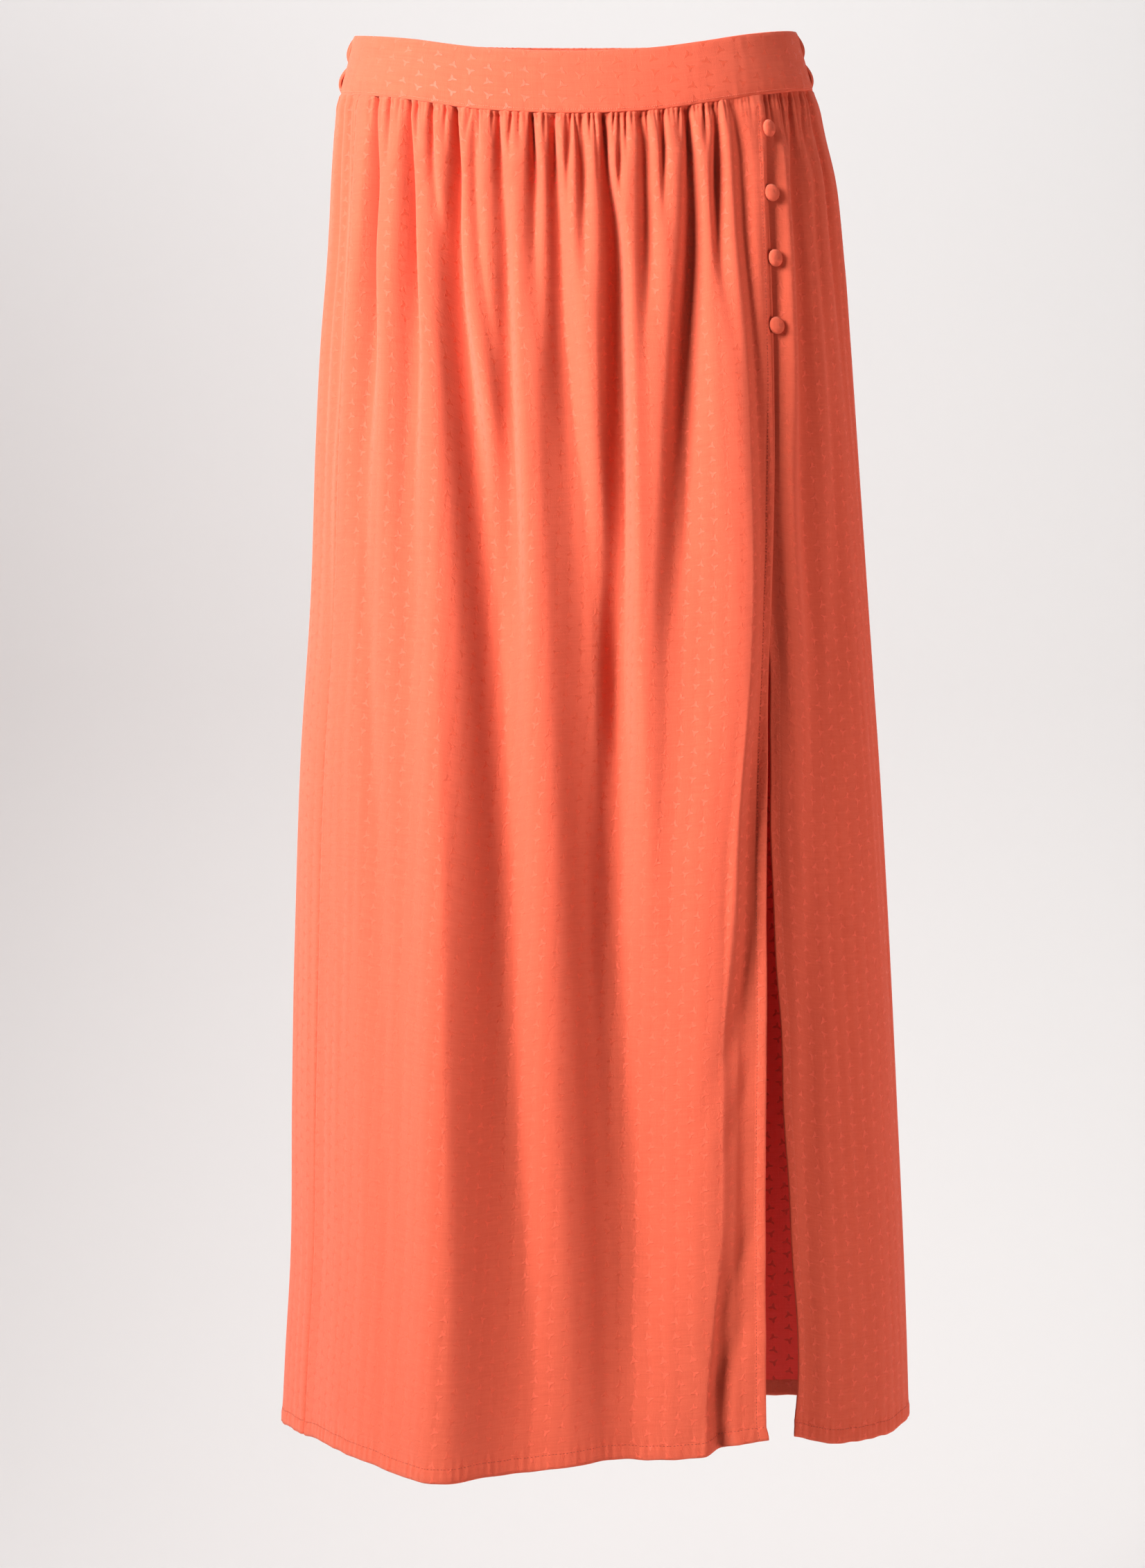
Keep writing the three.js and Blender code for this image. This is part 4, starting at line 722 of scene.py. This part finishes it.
# ---------------------------------------------------------------- panels
front, front_threads = panel("front", lambda z: LEFT_SEAM + 0 * z, placket, 541)
side, side_threads = panel(
    "side",
    lambda z: angle_at(curve(UNDER_EDGE[:, 0], UNDER_EDGE[:, 1], z) + 0.9 * smooth(-420, -520, z) * np.sin(z / 21.0) * np.sin(z / 57.0), z),
    lambda z: RIGHT_SEAM + 0 * z, 251, lift=lambda deg: -UNDERLAP_DROP * np.clip((RIGHT_SEAM - deg) / 22, 0, 1))
back, back_threads = panel("back", lambda z: RIGHT_SEAM + 0 * z, lambda z: LEFT_SEAM + 360 + 0 * z, 541, dense=1.4)


def cut_width(grid):
    """Widest row's arc, which is about what the cloth was cut to."""
    return float(np.linalg.norm(np.diff(grid[3:], axis=1), axis=2).sum(1).max())


pieces = {}
for key, node, grid, threads, turns in (
    ("front", "front_panel", front, front_threads, [("right", PLACKET_TURN)]),
    ("side", "side_front_panel", side, side_threads, [("left", PLACKET_TURN)]),
    ("back", "back_panel", back, back_threads, [])):
    width = cut_width(grid)
    ob, grid, n = finish_panel(node + "_cloth", node, grid, threads, width, turns, [FACE, BACK, TURN])
    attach(ob, "root")
    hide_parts(node)
    pieces[key] = (ob, grid, n)


# ---------------------------------------------------------------- waistbands
def band_grid(from_deg, to_deg, columns, heights, lift):
    deg = np.linspace(from_deg, to_deg, columns)[None, :] + 0 * heights[:, None]
    top, seam = edge(2, deg), edge(1, deg)
    h = heights[:, None]
    z = top + (seam - top) * h
    x, y, nx, ny, arc = body(deg, z)
    run = np.concatenate([[0], np.cumsum(np.hypot(np.diff(x[0]), np.diff(y[0])))])
    d = lift(run[None, :] + 0 * h, h + 0 * deg)
    return np.stack([x + nx * d, y + ny * d, z], -1), run


def band_heights(n):
    """Rows evenly spread from 0 to 1; the term that would bring them closer at the folded edges is multiplied by 0."""
    t = np.linspace(0, 1, n)
    return t + 0.06 * np.sin(4 * np.pi * t) / 2 * 0 + 0.0


def front_lift(run, h):
    crown = 0.35 * np.sin(np.pi * h) ** 0.6
    fold = -0.55 * np.exp(-(h / 0.035) ** 2) - 0.40 * np.exp(-(((1 - h) / 0.03) ** 2))
    ripple = 0.22 * wander(run * 0.06, h * 3.0, 21) + 0.12 * wander(run * 0.22, h * 1.4, 22)
    seam = 0.20 * np.exp(-(((1 - h) / 0.16) ** 2)) * wander(run * 0.35, 0, 23)
    sunk = -0.22 * np.exp(-((1 - h) * 40 - 1.6) ** 2)
    return 0.15 + crown + fold + ripple + seam + sunk


def elastic_lift(run, h):
    channel = np.abs(np.sin(2 * np.pi * np.clip(h, 0, 1))) ** 0.75
    ends = np.exp(-((run / 7.0) ** 2)) + np.exp(-(((run.max() - run) / 7.0) ** 2))
    channel = channel * (1 + ends * (0.25 + 0.75 * h))
    pitch = run + 2.2 * wander(run * 0.09, 0, 31)
    ruche = np.sin(2 * np.pi * pitch / 4.6 + 0.7 * np.sin(h * 5)) + 0.45 * np.sin(2 * np.pi * pitch / 2.9 + 1.0 + 1.4 * h)
    tight = 0.25 * np.sin(2 * np.pi * pitch / 3.1 + 2.0)
    uneven = 0.7 + 0.5 * wander(run * 0.05, 0, 33) * 0.6
    return -1.7 + 2.2 * channel * (1 + 0.12 * wander(run * 0.12, h, 32)) + (0.62 * ruche * uneven * channel + tight * (1 - channel)) * 0.9


FRONT_H = np.concatenate([[0, 0.012, 0.03, 0.06], np.linspace(0.1, 0.9, 15), [0.93, 0.95, 0.965, 0.98, 1.0]])
band, run = band_grid(BAND_LEFT, BAND_RIGHT, 361, FRONT_H, front_lift)
uv = np.stack([run[None, :] * 0.001 + 0.0031 + 0 * band[..., 0], 0.9 - (FRONT_H[:, None] * 0.04 + 0 * band[..., 0])], -1)
front_band = shell("front_waistband_cloth", band, uv, np.full(band.shape[:2], 1.5), [BAND, BACK], np.zeros((band.shape[0] - 1, band.shape[1] - 1), int))
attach(front_band, "root")
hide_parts("front_waistband")
band_n = normals(band)

BACK_H = np.concatenate([[0, 0.015, 0.04], np.linspace(0.08, 0.46, 10), [0.485, 0.5, 0.515], np.linspace(0.54, 0.92, 10), [0.96, 0.985, 1.0]])
elastic, run_b = band_grid(BAND_RIGHT, BAND_LEFT + 360, 701, BACK_H, elastic_lift)
uv = np.stack([run_b[None, :] * 0.0016 + 0 * elastic[..., 0], 0.5 - (BACK_H[:, None] * 0.04 + 0 * elastic[..., 0])], -1)
back_band = shell("back_waistband_cloth", elastic, uv, np.full(elastic.shape[:2], 1.7), [ELASTIC, BACK], np.zeros((elastic.shape[0] - 1, elastic.shape[1] - 1), int))
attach(back_band, "root")
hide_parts("back_waistband")
elastic_n = normals(elastic)


# ---------------------------------------------------------------- stitches
def band_line(grid, n, heights, at):
    i = np.interp(at, heights, np.arange(len(heights)))
    a, f = int(i), i - int(i)
    b = min(a + 1, len(heights) - 1)
    return grid[a] * (1 - f) + grid[b] * f, n[a] * (1 - f) + n[b] * f


def run_line(line_and_n, pitch, size):
    return (*line_and_n, pitch, size)


_, fg, fn = pieces["front"]
_, sg, sn = pieces["side"]
_, bg, bn = pieces["back"]
PITCH = 2.1
stitch_object("stitches_waist_seam", [run_line(band_line(band, band_n, FRONT_H, 0.957), 1.55, 0.30)], BAND_THREAD)
stitch_object("stitches_elastic", [run_line(band_line(elastic, elastic_n, BACK_H, at), 2.4, 0.24) for at in (0.5, 0.972)], PAINTED_SHADE_THREAD)
stitch_object("stitches_placket", [
    run_line(line_from_edge(fg, fn, "right", PLACKET_TURN), PITCH, 0.24)], PAINTED_SHADE_THREAD)
stitch_object("stitches_side_front", [run_line(line_from_edge(sg, sn, "left", PLACKET_TURN), PITCH, 0.22)], BAND_THREAD)
stitch_object("stitches_hem", [run_line(line_above_hem(g, n, HEM_TURN), 2.3, 0.24) for g, n in ((fg, fn), (sg, sn), (bg, bn))], PAINTED_SHADE_THREAD)


# ---------------------------------------------------------------- covered buttons and their loops
def rotation(out):
    out = np.array(out, float) / np.linalg.norm(out)
    side = -np.cross((0, 0, 1.0), out)
    side /= np.linalg.norm(side)
    return side, np.cross(out, side), out


def covered_button(name, node, foot, axes, seed):
    side, up, out = axes
    around, rings = 72, []
    drop = UNDERLAP_DROP + 0.5
    # radius and height of the section, from the shank up over the dome
    profile = [(1.2, 0.0), (1.7, 0.2), (1.7, drop - 0.2), (2.2, drop - 0.02), (3.6, drop - 0.05), (4.7, drop + 0.05), (5.3, drop + 0.35),
               (5.62, drop + 0.8), (5.7, drop + 1.25), (5.6, drop + 1.75)]
    for k in range(1, 13):
        a = k / 12 * math.pi / 2
        profile.append((5.6 * math.cos(a) ** 0.92, drop + 1.75 + (BUTTON_H - 1.75) * math.sin(a) ** 1.05))
    profile = profile[:-1]
    phi = np.linspace(0, 2 * np.pi, around, endpoint=False)
    verts, uv = [], []
    for i, (r, h) in enumerate(profile):
        under = math.exp(-((h - drop - 0.4) / 0.7) ** 2) if i > 2 else 0.0
        wr = r * (1 + 0.018 * under * np.sin(phi * 17 + seed) + 0.012 * under * np.sin(phi * 29 + 2 * seed))
        hh = h + 0.10 * under * np.sin(phi * 13 + seed) + 0.05 * np.sin(phi * 2 + seed) * (r / 5.7)
        verts.append(foot + np.outer(wr * np.cos(phi), side) + np.outer(wr * np.sin(phi), up) + np.outer(hh, out))
        uv.append(np.stack([0.0061 + 0.0115 * seed + wr * np.cos(phi) * 0.001, 0.0245 + wr * np.sin(phi) * 0.001 + h * 0.0006], -1))
    n = len(profile)
    verts = np.concatenate(verts + [(foot + out * (drop + BUTTON_H))[None], foot[None]])
    uv = np.concatenate(uv + [np.array([[0.0061 + 0.0115 * seed, 0.0245]]), np.array([[0.0061 + 0.0115 * seed, 0.0245]])])
    faces = []
    for i in range(n - 1):
        for k in range(around):
            j = (k + 1) % around
            faces.append((i * around + k, i * around + j, (i + 1) * around + j, (i + 1) * around + k))
    top, bottom = n * around, n * around + 1
    tri = []
    for k in range(around):
        j = (k + 1) % around
        tri.append(((n - 1) * around + k, (n - 1) * around + j, top))
        tri.append((j, k, bottom))
    quads = np.array(faces)
    tris = np.concatenate([quads[:, [0, 1, 2]], quads[:, [0, 2, 3]], np.array(tri)])
    v = verts[tris[0]]
    if np.dot(np.cross(v[1] - v[0], v[2] - v[0]), v.mean(0) - (foot + out * 0.1)) < 0:
        tris = tris[:, ::-1]
    ob = mesh_object(name, verts, tris, uv, mats=[COVER])
    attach(ob, "root")
    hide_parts(node)
    return ob


def tube(name, node, path, radius, sides=10, twist=9.0):
    path = np.array(path, float)
    s = along(path)
    fine = np.linspace(0, s[-1], 70)
    p = np.stack([curve(s, path[:, k], fine) for k in range(3)], -1)
    t = np.gradient(p, axis=0)
    t /= np.linalg.norm(t, axis=1, keepdims=True)
    ref = np.cross(t[0], (0, 0, 1.0))
    verts = []
    for i in range(len(p)):
        ref = ref - t[i] * np.dot(ref, t[i])
        ref /= np.linalg.norm(ref)
        other = np.cross(t[i], ref)
        for k in range(sides):
            a = 2 * math.pi * k / sides
            r = radius * (1 + 0.16 * math.sin(2 * a + twist * fine[i]))
            verts.append(p[i] + ref * r * math.cos(a) + other * r * math.sin(a))
    verts += [p[0], p[-1]]
    faces = []
    for i in range(len(p) - 1):
        for k in range(sides):
            j = (k + 1) % sides
            a, b, c, d = i * sides + k, i * sides + j, (i + 1) * sides + j, (i + 1) * sides + k
            faces += [(a, b, c), (a, c, d)]
    last = (len(p) - 1) * sides
    for k in range(sides):
        j = (k + 1) % sides
        faces += [(j, k, len(verts) - 2), (last + k, last + j, len(verts) - 1)]
    verts, faces = np.array(verts), np.array(faces)
    ob = mesh_object(name, verts, faces, verts[:, [0, 2]] * 0.001, mats=[CORD])
    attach(ob, "root")
    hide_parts(node)
    return ob


for k, (x, z, turn) in enumerate(BUTTONS, 1):
    deg = float(angle_at(x, z))
    zz = np.array([[float(z)]])
    for _ in range(12):
        one = np.array([[deg]])
        foot = cloth(one, zz, edge(1, one) - zz, -UNDERLAP_DROP)[0, 0]
        _, _, nx, ny, _ = body(deg, float(z))
        a = math.radians(turn)
        ox, oy = nx * math.cos(a) - ny * math.sin(a), ny * math.cos(a) + nx * math.sin(a)
        deg += (x - (foot[0] + ox * (UNDERLAP_DROP + 2.4))) / 4.0
    axes = rotation((float(ox) + 0.02 * math.sin(k * 2.1), float(oy), 0.07 + 0.03 * math.sin(k * 3.7)))
    side_v, up_v, out_v = axes
    covered_button("button_%d_cover" % k, "button_%d" % k, foot + out_v * 0.05, axes, k)
    ahead = cloth(placket(zz), zz, edge(1, placket(zz)) - zz, strip=True)[0, 0] - foot
    start = float(np.dot(ahead, side_v)) + 0.3
    reach = 2.35
    at = lambda s, t, h: foot + side_v * s + up_v * t + out_v * h
    path = [at(start, reach * 0.95, 1.9), at(start * 0.65, reach * 0.92, 1.8)]
    for i in range(9):
        a = math.pi * (0.34 + 1.32 * i / 8)
        path.append(at(math.cos(a) * reach, math.sin(a) * reach, 1.5))
    path += [at(start * 0.65, -reach * 0.92, 1.8), at(start, -reach * 0.95, 1.9)]
    tube("button_loop_%d_cord" % k, "button_loop_%d" % k, path, 0.42)

# ---------------------------------------------------------------- stage, light and camera
def sweep():
    """A pale floor that curves up into the wall behind."""
    floor, wall, radius = -1.25, 2.1, 0.9
    prof = [(-4.2, floor), (wall - radius, floor)]
    for k in range(1, 17):
        a = k / 16 * math.pi / 2
        prof.append((wall - radius + radius * math.sin(a), floor + radius - radius * math.cos(a)))
    prof.append((wall, 3.2))
    xs = (-4.0, 4.0)
    verts = [(x * 1000, y * 1000, z * 1000) for y, z in prof for x in xs]
    faces = [(2 * i, 2 * i + 1, 2 * i + 3, 2 * i + 2) for i in range(len(prof) - 1)]
    g = Nodes("pale_backdrop")
    co = g.new("ShaderNodeTexCoord")
    tone = g.noise(co.outputs["Object"], 0.7, 2.0, 0.4)
    mat = g.finish(g.mix((0.80, 0.79, 0.79), (0.82, 0.81, 0.812), tone), 0.9, None, 0, 0.0, 0.1)
    ob = mesh_object("floor_and_backdrop", np.array(verts), np.array(faces), np.array(verts)[:, :2] * 0.001, mats=[mat])


sweep()


def area_light(name, at, to, size, power, colour=(1, 1, 1), spread=180):
    light = bpy.data.lights.new(name, "AREA")
    light.shape = "RECTANGLE"
    light.size, light.size_y = size
    light.energy = power
    light.color = colour
    light.spread = math.radians(spread)
    ob = bpy.data.objects.new(name, light)
    bpy.context.scene.collection.objects.link(ob)
    ob.location = at
    d = np.array(to, float) - np.array(at, float)
    ob.rotation_euler = (math.atan2(math.hypot(d[0], d[1]), -d[2]), 0, math.atan2(-d[0], d[1]) + 0.0)
    # an area light shines along its own -Z
    from mathutils import Vector
    ob.rotation_euler = Vector(d).to_track_quat("-Z", "Y").to_euler()
    return ob


area_light("key_left", (-1.36, -1.24, 0.42), (0.17, -0.1, -0.12), (0.9, 1.0), 33.6, (1.0, 0.985, 0.965), 90)
area_light("fill_right", (2.45, -0.5, -0.8), (0.1, 0, -0.6), (1.6, 1.8), 14.0, (1.0, 0.62, 0.54), 70)
area_light("backdrop_wash", (-0.9, 0.9, 2.0), (-0.9, 2.1, -0.1), (3.0, 1.0), 56, (0.985, 1.0, 1.0))
world = bpy.data.worlds.new("studio")
world.use_nodes = True
world.node_tree.nodes["Background"].inputs[0].default_value = (1.0, 0.88, 0.85, 1.0)
world.node_tree.nodes["Background"].inputs[1].default_value = 0.13
bpy.context.scene.world = world
bpy.context.scene.view_settings.view_transform = "Standard"
bpy.context.scene.view_settings.look = "None"

camera = bpy.data.cameras.new("camera")
camera.sensor_fit = "VERTICAL"
camera.sensor_height = 36.0
camera.lens = 5591.0 / 2263.0 * 36.0
camera.clip_end = 50
camera_ob = bpy.data.objects.new("camera", camera)
bpy.context.scene.collection.objects.link(camera_ob)
camera_ob.location = (-0.0014, -2.6, -0.464)
camera_ob.rotation_euler = (math.pi / 2, 0, 0)
bpy.context.scene.camera = camera_ob

bpy.context.view_layer.update()
